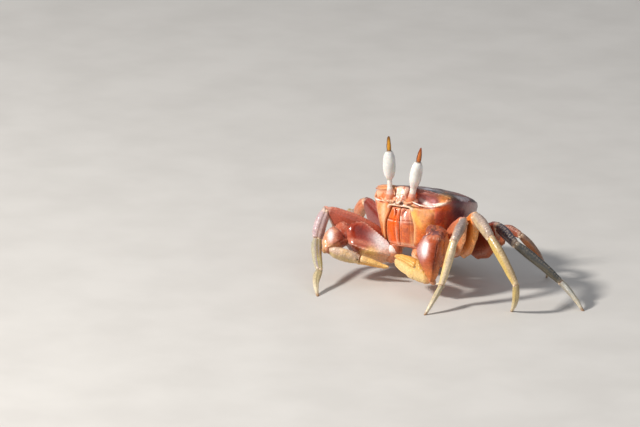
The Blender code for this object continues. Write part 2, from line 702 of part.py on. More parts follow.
def hand(s, rings_n, around):
    """Palm with the fixed finger, one shell piece."""
    w, a, up, out, length = hand_axes(s)
    c = CLAWS[s]
    palm = HAND[s]["palm"]
    _, _, elbow, _, tip = arm_joints(s)
    stations, sections, frames = [], [], []
    ts = list(np.linspace(0, palm, rings_n - 6)) + [palm + 0.012] + list(np.linspace(palm + 0.08, 1.0, 5))
    for t in ts:
        slim = keyed(HAND[s]["slim"], t)
        H, T = c["height"] * slim, c["thick"] * (0.35 + 0.65 * slim)
        low, high = hand_margins(s, t)
        mid = (low + high) / 2 * H
        half = (high - low) / 2 * H
        thick = keyed(((0, .38), (.12, .80), (.35, 1.0), (.50, .90), (.62, .62), (.85, .42), (1, .26)), t) * T / 2
        stations.append(w + a * length * t + up * mid)
        sections.append(plate_section(around, half, half, thick, thick * 0.85, 0.85))
        frames.append((a, up, out))
    p, m = joint_plane(elbow, w, tip)
    return loft(stations, sections, frames, (p + m * GAP / 2, -m))


def finger(s, rings_n, around):
    """Dactyl: the movable finger, closed on the fixed one."""
    w, a, up, out, length = hand_axes(s)
    c = CLAWS[s]
    first = HAND[s]["palm"] + 0.012 + (GAP * 1.6) / length
    stations, sections, frames = [], [], []
    for r in range(rings_n):
        t = r / (rings_n - 1)
        at = first + (1.0 - first) * t
        slim = keyed(HAND[s]["slim"], at)
        H, T = c["height"] * slim, c["thick"] * (0.35 + 0.65 * slim)
        low = (hand_margins(s, at)[1] + 0.020) * H + GAP
        high = keyed(HAND[s]["top"], t) * H
        half = max((high - low) / 2, 0.014)
        mid = low + half
        thick = keyed(((0, .70), (.30, .64), (.70, .44), (1, .24)), t) * T / 2
        stations.append(w + a * length * at + up * mid)
        sections.append(plate_section(around, half, half, thick, thick * 0.85, 0.85))
        frames.append((a, up, out))
    return loft(stations, sections, frames)


for s in ("L", "R"):
    pts, fcs = arm(s, 9, 12)
    solid(f"cheliped_{s}_arm", "claw_shell", clear_of_body(pts, GAP * 3.5), fcs)
    pts, fcs = wrist(s, 8, 12)
    solid(f"cheliped_{s}_wrist", "claw_shell", pts, fcs)
    pts, fcs = hand(s, 16, 12)
    solid(f"cheliped_{s}_hand", "finger_shell", pts, fcs)
    pts, fcs = finger(s, 9, 10)
    solid(f"cheliped_{s}_finger", "finger_shell", pts, fcs)

# the origin goes to the middle of the bounding box, on the floor
bpy.context.view_layer.update()
graph = bpy.context.evaluated_depsgraph_get()
low, high = np.full(3, 1e9), np.full(3, -1e9)
for obj in crab.objects:
    if obj.type in {"MESH", "CURVE"}:
        mesh = obj.evaluated_get(graph).to_mesh()
        co = np.array([tuple(obj.matrix_world @ v.co) for v in mesh.vertices])
        low, high = np.minimum(low, co.min(0)), np.maximum(high, co.max(0))
root.location = (-(low[0] + high[0]) / 2, -(low[1] + high[1]) / 2, -low[2])
bpy.context.view_layer.update()
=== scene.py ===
"""Looks of the life-size ghost crab: shell plates, eyes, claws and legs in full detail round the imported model."""

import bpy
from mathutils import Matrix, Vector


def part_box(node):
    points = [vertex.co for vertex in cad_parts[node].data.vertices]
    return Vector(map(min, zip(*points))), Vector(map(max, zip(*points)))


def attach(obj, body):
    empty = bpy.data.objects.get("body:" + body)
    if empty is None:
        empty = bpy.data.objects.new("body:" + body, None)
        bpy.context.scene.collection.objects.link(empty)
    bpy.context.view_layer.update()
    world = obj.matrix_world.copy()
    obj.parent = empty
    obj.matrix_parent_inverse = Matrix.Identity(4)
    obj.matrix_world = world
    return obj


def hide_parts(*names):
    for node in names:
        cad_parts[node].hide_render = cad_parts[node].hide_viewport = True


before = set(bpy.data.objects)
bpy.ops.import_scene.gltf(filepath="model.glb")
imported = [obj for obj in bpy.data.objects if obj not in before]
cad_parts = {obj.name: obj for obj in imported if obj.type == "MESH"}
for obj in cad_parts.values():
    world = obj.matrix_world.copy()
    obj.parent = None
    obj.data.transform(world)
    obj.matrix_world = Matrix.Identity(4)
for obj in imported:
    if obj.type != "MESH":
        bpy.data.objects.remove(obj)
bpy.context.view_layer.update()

import math

import bpy
import numpy as np
from mathutils import Matrix, Vector

# ---------------------------------------------------------------- sizes shared with the solids (carapace widths, CW)
CW = 0.040
GAP = 0.0080
PITCH = 16.0
ROLL = -4.0
RIDE = 0.250
FRONT_Y = 0.475
REAR_Y = 0.410
HALF_W = 0.482
ROOF_Z = 0.615
COXA = {1: (0.320, -0.110, 0.020), 2: (0.350, 0.050, 0.020),
        3: (0.340, 0.200, 0.050), 4: (0.290, 0.330, 0.100)}
LENGTHS = {1: (0.765, 0.30, 0.45, 0.36), 2: (0.900, 0.34, 0.55, 0.36),
           3: (0.845, 0.32, 0.58, 0.38), 4: (0.530, 0.24, 0.38, 0.28)}
POSE = {
    "L1": ((32, 37), (72, -25), (105, -71), (86, 0)),
    "L2": ((35, 38), (24, -23), (13, -44), (39, 1)),
    "L3": ((24, 30), (18, -19), (-30, -39), (8, 0)),
    "L4": ((1, 29), (10, -5), (-62, -52), (-112, 0)),
    "R1": ((48, 28), (91, -63), (133, -27), (127, 0)),
    "R2": ((-28, 13), (-30, -40), (-45, -16), (-45, 0)),
    "R3": ((-44, 17), (-46, -22), (-50, -20), (-50, 0)),
    "R4": ((-68, 26), (-70, -27), (-74, -31), (-74, 0)),
}
CLAWS = {
    "L": {"root": (0.190, -0.300, -0.050), "bend": (0.470, -0.485, 0.400), "elbow": (0.605, -0.520, 0.625),
          "wrist": (0.650, -0.690, 0.216), "tip": (0.143, -0.637, 0.312),
          "height": 0.240, "thick": 0.150, "tilt": 6.0, "bulk": 1.06},
    "R": {"root": (-0.100, -0.370, -0.080), "bend": (-0.210, -0.610, 0.345), "elbow": (-0.524, -0.636, 0.438),
          "wrist": (-0.500, -0.895, 0.345), "tip": (-0.019, -0.537, 0.177),
          "height": 0.215, "thick": 0.125, "tilt": 50.0, "bulk": 0.96},
}
EYE_FOOT = (0.145, -0.480, 0.545)
EYES = {"L": (13.0, 0.065, 0.355, 0.500), "R": (1.0, 0.105, 0.415, 0.555)}
EYE_R = 0.063


# ---------------------------------------------------------------- vectors
def unit(v):
    v = np.asarray(v, float)
    return v / (np.linalg.norm(v, axis=-1, keepdims=True) + 1e-12)


def to_world(p):
    p = np.asarray(p, float)
    b, r = math.radians(PITCH), math.radians(ROLL)
    x, y, z = p[..., 0], p[..., 1], p[..., 2]
    y2 = y * math.cos(b) + z * math.sin(b)
    z2 = -y * math.sin(b) + z * math.cos(b)
    return np.stack([x * math.cos(r) + z2 * math.sin(r), y2,
                     -x * math.sin(r) + z2 * math.cos(r) + RIDE], -1)


def to_body(p):
    p = np.asarray(p, float)
    b, r = math.radians(PITCH), math.radians(ROLL)
    x, y, z = p[..., 0], p[..., 1], p[..., 2] - RIDE
    x1 = x * math.cos(r) - z * math.sin(r)
    z1 = x * math.sin(r) + z * math.cos(r)
    return np.stack([x1, y * math.cos(b) - z1 * math.sin(b), y * math.sin(b) + z1 * math.cos(b)], -1)


def heading(yaw, elevation, side):
    yaw, el = math.radians(yaw), math.radians(elevation)
    return np.array([side * math.cos(yaw) * math.cos(el), -math.sin(yaw) * math.cos(el), math.sin(el)])


def step(a, b, x):
    t = np.clip((np.asarray(x, float) - a) / (b - a), 0, 1)
    return t * t * (3 - 2 * t)


def bell(x, centre, width):
    return np.exp(-(((np.asarray(x, float) - centre) / width) ** 2))


def keyed(keys, t):
    xs, ys = zip(*keys)
    xs, ys = np.array(xs, float), np.array(ys, float)
    t = np.asarray(t, float)
    i = np.clip(np.searchsorted(xs, t) - 1, 0, len(xs) - 2)
    u = np.clip((t - xs[i]) / (xs[i + 1] - xs[i]), 0, 1)
    u = u * u * (3 - 2 * u) * 0.6 + u * 0.4
    return ys[i] + (ys[i + 1] - ys[i]) * u


def smooth_max(values, k):
    values = np.stack(values)
    top = values.max(0)
    return top + k * np.log(np.exp((values - top) / k).sum(0))


def smooth_min(values, k):
    return -smooth_max([-v for v in values], k)


# ---------------------------------------------------------------- noise and colour
DICE = np.random.RandomState(11)
LATTICE = DICE.rand(32, 32, 32)
JITTER = DICE.rand(3, 32, 32, 32)


def noise(p, f, shift=0.0):
    """Smooth value noise, 0 to 1."""
    q = np.asarray(p, float) * f + shift
    i = np.floor(q).astype(np.int64)
    u = q - i
    u = u * u * (3 - 2 * u)
    i %= 32
    j = (i + 1) % 32
    a, b, c = i[..., 0], i[..., 1], i[..., 2]
    d, e, g = j[..., 0], j[..., 1], j[..., 2]
    x, y, z = u[..., 0], u[..., 1], u[..., 2]
    low = (LATTICE[a, b, c] * (1 - x) + LATTICE[d, b, c] * x) * (1 - y) + (LATTICE[a, e, c] * (1 - x) + LATTICE[d, e, c] * x) * y
    high = (LATTICE[a, b, g] * (1 - x) + LATTICE[d, b, g] * x) * (1 - y) + (LATTICE[a, e, g] * (1 - x) + LATTICE[d, e, g] * x) * y
    return low * (1 - z) + high * z


def fbm(p, f, octaves=4, shift=0.0):
    total, weight, amp = 0.0, 0.0, 1.0
    for k in range(octaves):
        total = total + amp * noise(p, f * 2 ** k, shift + 7.3 * k)
        weight += amp
        amp *= 0.55
    return total / weight


def beads(p, size, fill=0.42, keep=1.0, shift=0.0):
    """Round granules of about this size scattered over a surface: height 0 to 1."""
    q = np.asarray(p, float) / size + shift
    cell = np.floor(q).astype(np.int64)
    best = np.full(q.shape[:-1], 9.0)
    for dx in (-1, 0, 1):
        for dy in (-1, 0, 1):
            for dz in (-1, 0, 1):
                c = cell + (dx, dy, dz)
                m = c % 32
                jit = np.stack([JITTER[k][m[..., 0], m[..., 1], m[..., 2]] for k in range(3)], -1)
                here = LATTICE[m[..., 0], m[..., 1], m[..., 2]] < keep
                d = ((q - c - 0.15 - 0.7 * jit) ** 2).sum(-1)
                best = np.where(here, np.minimum(best, d), best)
    return np.sqrt(np.clip(1 - best / fill ** 2, 0, 1))


def srgb(r, g, b):
    c = np.array((r, g, b), float) / 255
    return np.where(c <= 0.04045, c / 12.92, ((c + 0.055) / 1.055) ** 2.4)


def mix(a, b, w):
    w = np.clip(np.asarray(w, float), 0, 1)[..., None]
    return np.asarray(a) * (1 - w) + np.asarray(b) * w


CREAM = srgb(240, 214, 184)
PALE = srgb(228, 214, 196)
BEIGE = srgb(216, 184, 134)
YELLOW = srgb(226, 178, 92)
AMBER = srgb(222, 148, 66)
ORANGE = srgb(214, 112, 52)
DEEP_ORANGE = srgb(206, 84, 34)
PINK = srgb(206, 128, 112)
ROSE = srgb(184, 92, 80)
RED = srgb(158, 62, 48)
DARK_RED = srgb(112, 40, 36)
BROWN = srgb(120, 62, 36)
PURPLE = srgb(112, 62, 76)
PLUM = srgb(78, 46, 62)
SLATE = srgb(116, 112, 124)
LILAC = srgb(178, 158, 170)
OLIVE = srgb(150, 138, 92)
GREY = srgb(170, 162, 152)
WHITE = srgb(238, 232, 226)


VIEW_BACK = np.array((math.sin(math.radians(40)) * math.cos(math.radians(16)),
                      -math.cos(math.radians(40)) * math.cos(math.radians(16)), math.sin(math.radians(16))))


def spot(P, N, x, y, rx, ry, turn=0.0, ragged=0.0):
    """Soft oval mark on the side seen from the front left, used both for the shell's own marks and for painted
    highlights and shadows: centre and half sizes in hundredths of a carapace width across and down that view, turned
    clockwise by some degrees."""
    a, e = math.radians(40), math.radians(16)
    across = 424 + 100 * (P[..., 0] * math.cos(a) + P[..., 1] * math.sin(a))
    away = P[..., 0] * math.sin(a) - P[..., 1] * math.cos(a)
    down = 273 - 100 * (P[..., 2] * math.cos(e) - away * math.sin(e))
    t = math.radians(turn)
    u = ((across - x) * math.cos(t) + (down - y) * math.sin(t)) / rx
    v = (-(across - x) * math.sin(t) + (down - y) * math.cos(t)) / ry
    r = u * u + v * v
    if ragged:
        r = r * (1 + ragged * 2 * (fbm(P, 26, 3, 1.7) - 0.5))
    return np.exp(-np.clip(r, 0, 9) ** 1.6) * step(0.0, 0.25, N @ VIEW_BACK)


# ---------------------------------------------------------------- meshes
SHIFT = np.zeros(3)      # set below, from the solids


def grid_faces(rows, cols, wrap=True, offset=0, caps=None):
    r, c = np.meshgrid(np.arange(rows - 1), np.arange(cols if wrap else cols - 1), indexing="ij")
    n = (c + 1) % cols
    f = np.stack([r * cols + c, (r + 1) * cols + c, (r + 1) * cols + n, r * cols + n], -1).reshape(-1, 4) + offset
    return f


class Shape:
    """Points, quads, triangles and point colours of one piece, gathered from several parts."""

    def __init__(self):
        self.points, self.quads, self.tris, self.colours, self.count = [], [], [], [], 0

    def put(self, points, quads=None, tris=None, colour=(0.5, 0.5, 0.5)):
        points = np.asarray(points, float).reshape(-1, 3)
        colour = np.broadcast_to(np.asarray(colour, float), points.shape)
        if quads is not None and len(quads):
            self.quads.append(np.asarray(quads) + self.count)
        if tris is not None and len(tris):
            self.tris.append(np.asarray(tris) + self.count)
        self.points.append(points)
        self.colours.append(colour)
        self.count += len(points)
        return self

    def tube(self, P, colour):
        """Rings (R, A, 3) closed at both ends by a fan."""
        R, A = P.shape[:2]
        pts = np.concatenate([P.reshape(-1, 3), P[0].mean(0)[None], P[-1].mean(0)[None]])
        col = np.asarray(colour, float)
        col = np.broadcast_to(col, (R, A, 3)) if col.ndim != 3 else col
        cols = np.concatenate([col.reshape(-1, 3), col[0].mean(0)[None], col[-1].mean(0)[None]])
        k = np.arange(A)
        m = (k + 1) % A
        first = np.stack([np.full(A, R * A), k, m], -1)
        last = np.stack([np.full(A, R * A + 1), (R - 1) * A + m, (R - 1) * A + k], -1)
        quads = grid_faces(R, A)
        tris = np.concatenate([first, last])
        # faces out: compare one face's normal with the way out from the axis
        mid = R // 2
        e1, e2 = P[mid + 1 if mid + 1 < R else mid, 0] - P[mid, 0], P[mid, 1 % A] - P[mid, 0]
        normal = np.cross(e1, e2)
        if normal @ (P[mid, 0] - P[mid].mean(0)) < 0:
            quads, tris = quads[:, ::-1], tris[:, ::-1]
        return self.put(pts, quads, tris, cols)

    def make(self, name, material, nodes=(), slot=None, smooth=True, uv=None):
        P = (np.concatenate(self.points) * CW + SHIFT).astype(np.float32)
        C = np.concatenate(self.colours)
        quads = np.concatenate(self.quads) if self.quads else np.zeros((0, 4), int)
        tris = np.concatenate(self.tris) if self.tris else np.zeros((0, 3), int)
        mesh = bpy.data.meshes.new(name)
        mesh.vertices.add(len(P))
        mesh.vertices.foreach_set("co", P.ravel())
        loops = np.concatenate([quads.ravel(), tris.ravel()]).astype(np.int32)
        starts = np.concatenate([np.arange(len(quads)) * 4, len(quads) * 4 + np.arange(len(tris)) * 3]).astype(np.int32)
        totals = np.concatenate([np.full(len(quads), 4), np.full(len(tris), 3)]).astype(np.int32)
        mesh.loops.add(len(loops))
        mesh.loops.foreach_set("vertex_index", loops)
        mesh.polygons.add(len(starts))
        mesh.polygons.foreach_set("loop_start", starts)
        mesh.polygons.foreach_set("loop_total", totals)
        mesh.update(calc_edges=True)
        mesh.validate()
        attribute = mesh.color_attributes.new("tint", "FLOAT_COLOR", "POINT")
        attribute.data.foreach_set("color", np.concatenate([np.clip(C, 0, 1), np.ones((len(C), 1))], 1).astype(np.float32).ravel())
        if uv is not None:
            layer = mesh.uv_layers.new(name="OFBake")
            at = np.empty(len(mesh.loops), np.int32)
            mesh.loops.foreach_get("vertex_index", at)
            layer.data.foreach_set("uv", uv[at].astype(np.float32).ravel())
        mesh.polygons.foreach_set("use_smooth", np.full(len(mesh.polygons), smooth))
        obj = bpy.data.objects.new(name, mesh)
        bpy.context.scene.collection.objects.link(obj)
        mesh.materials.append(material)
        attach(obj, "root")
        if nodes:
            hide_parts(*nodes)
        return obj


def tube_points(centres, frames, a, b, start=None, end=None, reach=0.030, reach_end=None):
    """Rings of a limb: a, b (R, A) are lengths along up and front; the ends are cut by planes."""
    along, up, front = frames
    P = centres[:, None, :] + up[:, None, :] * a[..., None] + front[:, None, :] * b[..., None]
    R = len(centres)
    order = np.arange(R)
    for plane, order, most in ((start, order, reach), (end, order[::-1], reach if reach_end is None else reach_end)):
        if plane is None:
            continue
        point, normal = np.asarray(plane[0], float), unit(plane[1])
        slope = along @ normal
        slope = np.where(np.abs(slope) < 0.2, 0.2 * np.sign(slope + 1e-9), slope)
        over = (P - point) @ normal + 0.0006 * order[:, None]
        move = over / slope[:, None]
        small = np.sign(slope)[:, None] * np.maximum(move * np.sign(slope)[:, None], -most)
        move = np.where(over > 0, move, np.where((order == 0)[:, None], small, 0))
        P = P - move[..., None] * along[:, None, :]
    return P


def grid_normals(P):
    """Outward normals of rings (R, A, 3)."""
    du = np.gradient(P, axis=0)
    dv = np.roll(P, -1, 1) - np.roll(P, 1, 1)
    n = unit(np.cross(du, dv))
    out = P - P.mean(1, keepdims=True)
    sign = np.sign((n * out).sum(-1).mean())
    return n * (sign if sign != 0 else 1)


def ball(centre, axes, rows=14, around=24):
    """An ellipsoid as rings; axes are three half-axis vectors, the first along the poles."""
    centre, axes = np.asarray(centre, float), np.asarray(axes, float)
    phi = np.linspace(0.12, math.pi - 0.12, rows)
    th = np.arange(around) * 2 * math.pi / around
    return (centre + axes[0] * np.cos(phi)[:, None, None]
            + np.sin(phi)[:, None, None] * (axes[1] * np.cos(th)[None, :, None] + axes[2] * np.sin(th)[None, :, None]))


# ---------------------------------------------------------------- surface nets for the body's fields
def nets(field, low, high, h, relax=3):
    low, high = np.asarray(low, float), np.asarray(high, float)
    n = np.ceil((high - low) / h).astype(int) + 1
    xs, ys, zs = (low[k] + h * np.arange(n[k]) for k in range(3))
    inside = np.zeros(n, bool)
    Y, Z = np.meshgrid(ys, zs, indexing="ij")
    block = 12
    for i in range(0, n[0], block):
        X = xs[i:i + block]
        p = np.stack([np.broadcast_to(X[:, None, None], (len(X), n[1], n[2])),
                      np.broadcast_to(Y, (len(X), n[1], n[2])), np.broadcast_to(Z, (len(X), n[1], n[2]))], -1)
        inside[i:i + block] = field(p) < 0
    s = inside.astype(np.int8)
    count = sum(s[a:n[0] - 1 + a, b:n[1] - 1 + b, c:n[2] - 1 + c] for a in (0, 1) for b in (0, 1) for c in (0, 1))
    active = (count > 0) & (count < 8)
    index = np.full(active.shape, -1, np.int64)
    cells = np.argwhere(active)
    index[active] = np.arange(len(cells))
    P = low + h * (cells + 0.5)
    quads = []
    for axis in range(3):
        o1, o2 = [k for k in range(3) if k != axis]
        a = [slice(None)] * 3
        b = [slice(None)] * 3
        a[axis], b[axis] = slice(0, n[axis] - 1), slice(1, n[axis])
        first, second = inside[tuple(a)], inside[tuple(b)]
        edges = np.argwhere(first != second)
        keep = np.ones(len(edges), bool)
        for o in (o1, o2):
            keep &= (edges[:, o] > 0) & (edges[:, o] < n[o] - 1)
        edges = edges[keep]
        flip = first[tuple(edges.T)]
        c = []
        for s1, s2 in ((1, 1), (0, 1), (0, 0), (1, 0)):
            q = edges.copy()
            q[:, o1] -= s1
            q[:, o2] -= s2
            c.append(index[tuple(q.T)])
        q = np.stack(c, -1)
        if axis == 1:
            flip = ~flip
        q = np.where(flip[:, None], q, q[:, ::-1])
        quads.append(q)
    quads = np.concatenate(quads)
    ends = np.concatenate([quads[:, [0, 1]], quads[:, [1, 2]], quads[:, [2, 3]], quads[:, [3, 0]]])
    ends = np.unique(np.sort(ends, 1), axis=0)
    degree = np.bincount(ends.ravel(), minlength=len(P))[:, None]
    e = h * 0.2

    def project(P, times):
        for _ in range(times):
            f = field(P)
            g = np.stack([field(P + e * np.eye(3)[k]) - field(P - e * np.eye(3)[k]) for k in range(3)], -1) / (2 * e)
            size = np.maximum((g ** 2).sum(-1), 0.09)
            move = -(f / size)[:, None] * g
            far = np.linalg.norm(move, axis=1, keepdims=True)
            P = P + move * np.minimum(1, h / (far + 1e-9))
        return P, unit(g)

    P, N = project(P, 3)
    for _ in range(relax):
        total = np.zeros_like(P)
        for k in range(3):
            total[:, k] = np.bincount(ends[:, 0], P[ends[:, 1], k], len(P)) + np.bincount(ends[:, 1], P[ends[:, 0], k], len(P))
        pull = total / degree - P
        pull -= (pull * N).sum(1, keepdims=True) * N
        P, N = project(P + 0.6 * pull, 1)
    P, N = project(P, 1)
    return P, quads, N


# ---------------------------------------------------------------- the body
def roof(x, y):
    arch = ROOF_Z - 0.29 * x ** 2 - 0.55 * np.maximum(np.abs(x) - 0.36, 0) ** 2
    return arch - 0.72 * np.maximum(y - 0.04, 0) ** 2 - 0.26 * np.maximum(-y - 0.18, 0) ** 2


def wall(y, z):
    plan = HALF_W - 1.20 * np.maximum(-y - 0.18, 0) ** 2 - 0.80 * np.maximum(y + 0.06, 0) ** 2
    under = 0.185 * step(0.52, 0.02, z)
    return plan - under - 0.5 * np.maximum(z - 0.50, 0) ** 2


def face(x, z):
    return FRONT_Y - 0.62 * x ** 2 - 0.50 * np.maximum(0.36 - z, 0) ** 2 - 0.8 * np.maximum(np.abs(x) - 0.22, 0) ** 2 * step(0.45, 0.1, z)


def rear(x, z):
    return REAR_Y - 0.55 * x ** 2 - 0.75 * np.maximum(0.34 - z, 0) ** 2


def sole(x, y):
    return 0.60 * np.maximum(np.abs(x) - 0.16, 0) ** 2 + 0.55 * np.maximum(y - 0.02, 0) ** 2


def block(p, k=0.018):
    """The body without its hollows."""
    x, y, z = p[..., 0], p[..., 1], p[..., 2]
    return smooth_max([z - roof(x, y), np.abs(x) - wall(y, z), -y - face(x, z), y - rear(x, z), sole(x, y) - z], k)


def orbit_line(t):
    """Middle of one eye socket, from the front lobe (0) to the outer corner (1), for the left side."""
    cx = 0.095 + 0.345 * t
    return cx, -(FRONT_Y - 0.62 * cx ** 2) - 0.006, 0.523 - 0.046 * np.sin(math.pi * t * 0.9) - 0.004 * t


def orbit(p):
    x = np.abs(p[..., 0])
    t = np.clip((x - 0.095) / 0.345, 0, 1)
    cx, cy, cz = orbit_line(t)
    r = 0.050 + 0.030 * np.sin(math.pi * t) - 0.010 * t
    dz = (p[..., 2] - cz) * 1.10
    return np.sqrt((x - cx) ** 2 + ((p[..., 1] - cy) * 0.80) ** 2 + dz ** 2) - r


def lobe(p):
    """The narrow front between the eyestalks, bent down, with a raised rim and a furrow along its middle."""
    x, y, z = p[..., 0], p[..., 1], p[..., 2]
    t = np.clip((0.556 - z) / 0.112, 0, 1)
    cy = -0.444 - 0.040 * t
    half = 0.064 - 0.020 * t
    d = np.sqrt((x * (0.044 / half)) ** 2 * 0.62 + (y - cy) ** 2 + (z - (0.556 - 0.112 * t)) ** 2) - (0.043 - 0.005 * t)
    furrow = 0.007 * bell(x, 0, 0.014) * step(0.10, 0.35, t) * step(1.3, 0.7, t)
    rim = 0.005 * bell(np.abs(x), half * 0.80, 0.010)
    return d + furrow - rim - 0.0060 * (noise(p, 34, 2.0) - 0.5) - 0.0030 * (noise(p, 70, 5.0) - 0.5)


def mouth_half(z):
    """Half width of the mouth field at a height."""
    t = np.clip((0.40 - z) / 0.20, 0, 1)
    return 0.120 + 0.056 * t * t * (3 - 2 * t) - 0.08 * np.maximum(0.14 - z, 0)


def mouth(p):
    x, y, z = p[..., 0], p[..., 1], p[..., 2]
    across = np.abs(x) - (mouth_half(z) + 0.007)
    floor = -(-y - (face(x, z) - 0.058))
    return smooth_max([across, np.abs(z - 0.198) - 0.196, floor], 0.006)


def segment(p, a, b):
    a, b = np.asarray(a, float), np.asarray(b, float)
    d = b - a
    t = np.clip(((p - a) * d).sum(-1) / (d @ d), 0, 1)
    return np.linalg.norm(p - a - t[..., None] * d, axis=-1)


def plan_line(p, points):
    """Distance in plan from a broken line, the same on both sides."""
    q = np.stack([np.abs(p[..., 0]), p[..., 1]], -1)
    best = None
    for a, b in zip(points[:-1], points[1:]):
        d = segment(q, a, b)
        best = d if best is None else np.minimum(best, d)
    return best


def roof_relief(p):
    """Regions of the carapace: furrows round the stomach and heart, low swellings over the gills."""
    z = p[..., 2]
    top = step(0.50, 0.56, z)
    h_line = plan_line(p, [(0.105, -0.26), (0.120, -0.10), (0.100, 0.02), (0.118, 0.10), (0.090, 0.20)])
    neck = plan_line(p, [(0.108, -0.02), (0.20, -0.07), (0.30, -0.16), (0.36, -0.25)])
    cross = plan_line(p, [(0.0, 0.035), (0.105, 0.015)])
    d = -0.0085 * bell(h_line, 0, 0.016) - 0.0070 * bell(neck, 0, 0.016) - 0.0060 * bell(cross, 0, 0.012)
    q = np.abs(p[..., 0])
    d = d + 0.0055 * bell(q, 0.28, 0.10) * bell(p[..., 1], 0.06, 0.16) + 0.0045 * bell(q, 0.0, 0.07) * bell(p[..., 1], -0.12, 0.09)
    d = d + 0.0040 * bell(q, 0.0, 0.06) * bell(p[..., 1], 0.12, 0.06)
    return d * top


def edge_line(points, p, mirrored=True):
    """Distance to a broken line in space, the same on both sides."""
    q = p.copy() if mirrored else p
    if mirrored:
        q[..., 0] = np.abs(q[..., 0])
    best = None
    for a, b in zip(points[:-1], points[1:]):
        d = segment(q, a, b)
        best = d if best is None else np.minimum(best, d)
    return best


def on_face(x, z, out=0.0):
    return (x, -(FRONT_Y - 0.62 * x * x) - out, z)


LOWER_RIM = [on_face(0.125, 0.470, 0.004), on_face(0.17, 0.452, 0.006), on_face(0.23, 0.436, 0.007), on_face(0.29, 0.430, 0.007),
             on_face(0.35, 0.434, 0.006), on_face(0.405, 0.452, 0.002), (0.444, -0.325, 0.484), (0.468, -0.270, 0.520)]
UPPER_RIM = [on_face(0.115, 0.592, -0.022), on_face(0.18, 0.592, -0.012), on_face(0.25, 0.588, -0.010), on_face(0.32, 0.578, -0.010),
             on_face(0.38, 0.566, -0.008), (0.430, -0.322, 0.556), (0.478, -0.285, 0.538)]
LIP = [(0.0, -0.481, 0.404), (0.06, -0.481, 0.407), (0.115, -0.472, 0.402), (0.150, -0.462, 0.385)]
SIDE_EDGE = [(0.478, -0.285, 0.538), (0.488, -0.20, 0.535), (0.486, -0.08, 0.520), (0.478, 0.05, 0.500), (0.450, 0.17, 0.475), (0.400, 0.27, 0.440)]


def rims(p):
    """Raised beaded edges: under and over the eye sockets and along the upper lip."""
    low = edge_line(LOWER_RIM, p)
    up = edge_line(UPPER_RIM, p)
    lip = edge_line(LIP, p)
    wave = 0.0010 * np.sin(2 * math.pi * (np.abs(p[..., 0]) + 0.8 * p[..., 1]) / 0.021)
    rough = noise(p, 22, 9.0) - 0.5
    return low - 0.0070 - wave - 0.0085 * rough, up - 0.0070 - 0.0060 * rough, lip - 0.0120 - 0.0080 * rough


def front_relief(p):
    """Small forms of the face: cheek swirl, furrow down the flank."""
    x, y, z = np.abs(p[..., 0]), p[..., 1], p[..., 2]
    fore = step(-0.10, -0.30, y)
    r = np.sqrt((x - 0.285) ** 2 + (z - 0.350) ** 2)
    swirl = bell(r, 0.052, 0.012) * step(-0.4, 0.5, np.cos(np.arctan2(z - 0.35, x - 0.285) - 0.6))
    swirl = swirl - 0.6 * bell(r, 0.078, 0.012)
    arc = bell(z, 0.385 - 1.6 * (x - 0.20) ** 2, 0.012) * step(0.14, 0.18, x) * step(0.36, 0.30, x)
    swirl = swirl * step(0.25, 0.60, noise(p, 12, 3.0))
    d = 0.0034 * swirl + 0.0040 * arc
    seam_line = plan_line(np.stack([x, z], -1), [(0.372, 0.400), (0.360, 0.300), (0.335, 0.200), (0.290, 0.100)])
    d = d - 0.0060 * bell(seam_line, 0, 0.010)
    frame_line = np.abs(x - (mouth_half(z) + 0.024))
    d = d + (0.0030 + 0.0045 * noise(p, 18, 6.0)) * bell(frame_line + 0.010 * (noise(p, 14, 1.0) - 0.5), 0, 0.010) * step(0.02, 0.06, z) * step(0.41, 0.37, z)
    return d * fore


def pits(p):
    x, y, z = np.abs(p[..., 0]), p[..., 1], p[..., 2]
    a = np.sqrt((x - 0.036) ** 2 + (y + 0.500) ** 2 + (z - 0.427) ** 2) - 0.017
    b = np.sqrt(((x - 0.088) * 0.7) ** 2 + (y + 0.492) ** 2 + (z - 0.440) ** 2) - 0.019
    return np.minimum(a, b)


def carapace_body(p):
    f = block(p) - roof_relief(p) - front_relief(p)
    f = smooth_max([f, -orbit(p)], 0.008)
    f = smooth_min([f, lobe(p)], 0.008)
    low, up, lip = rims(p)
    f = smooth_min([f, low, up, lip], 0.006)
    f = smooth_max([f, -pits(p)], 0.004)
    return smooth_max([f, -mouth(p)], 0.004)


def seam(p):
    return p[..., 2] - (0.030 + 0.27 * (p[..., 1] + 0.36))


def carapace_field(p):
    return smooth_max([carapace_body(p), 0.0020 - seam(p)], 0.004)


def leg_base(name):
    """Joints of a leg in the body frame: coxa and the start of the merus."""
    j = leg_joints(name)
    return to_body(j[0]), unit(to_body(j[1]) - to_body(j[0]))


def sternum_field(p):
    x, y, z = p[..., 0], p[..., 1], p[..., 2]
    q = np.abs(x)
    grooves = 0.0
    for k, y0 in enumerate((-0.25, -0.12, 0.02, 0.16, 0.28)):
        line = y - (y0 + 0.22 * (q - 0.10))
        grooves = grooves + 0.0085 * bell(line, 0, 0.009) * step(0.07, 0.13, q) * step(0.10, 0.05, z)
    f = smooth_max([block(p) + grooves, 0.0020 + seam(p)], 0.006)
    for name in POSE:
        base, d = leg_base(name)
        lump = ((p - base - d * 0.005) ** 2).sum(-1) ** 0.5 - 0.062 * SIZE[int(name[1])]
        f = smooth_min([f, lump], 0.010)
    for s in "LR":
        base = np.array(CLAWS[s]["root"])
        lump = (((p - base - np.array((0, 0.02, 0.03))) * (1, 1, 1)) ** 2).sum(-1) ** 0.5 - 0.085
        f = smooth_min([f, lump], 0.012)
    return f


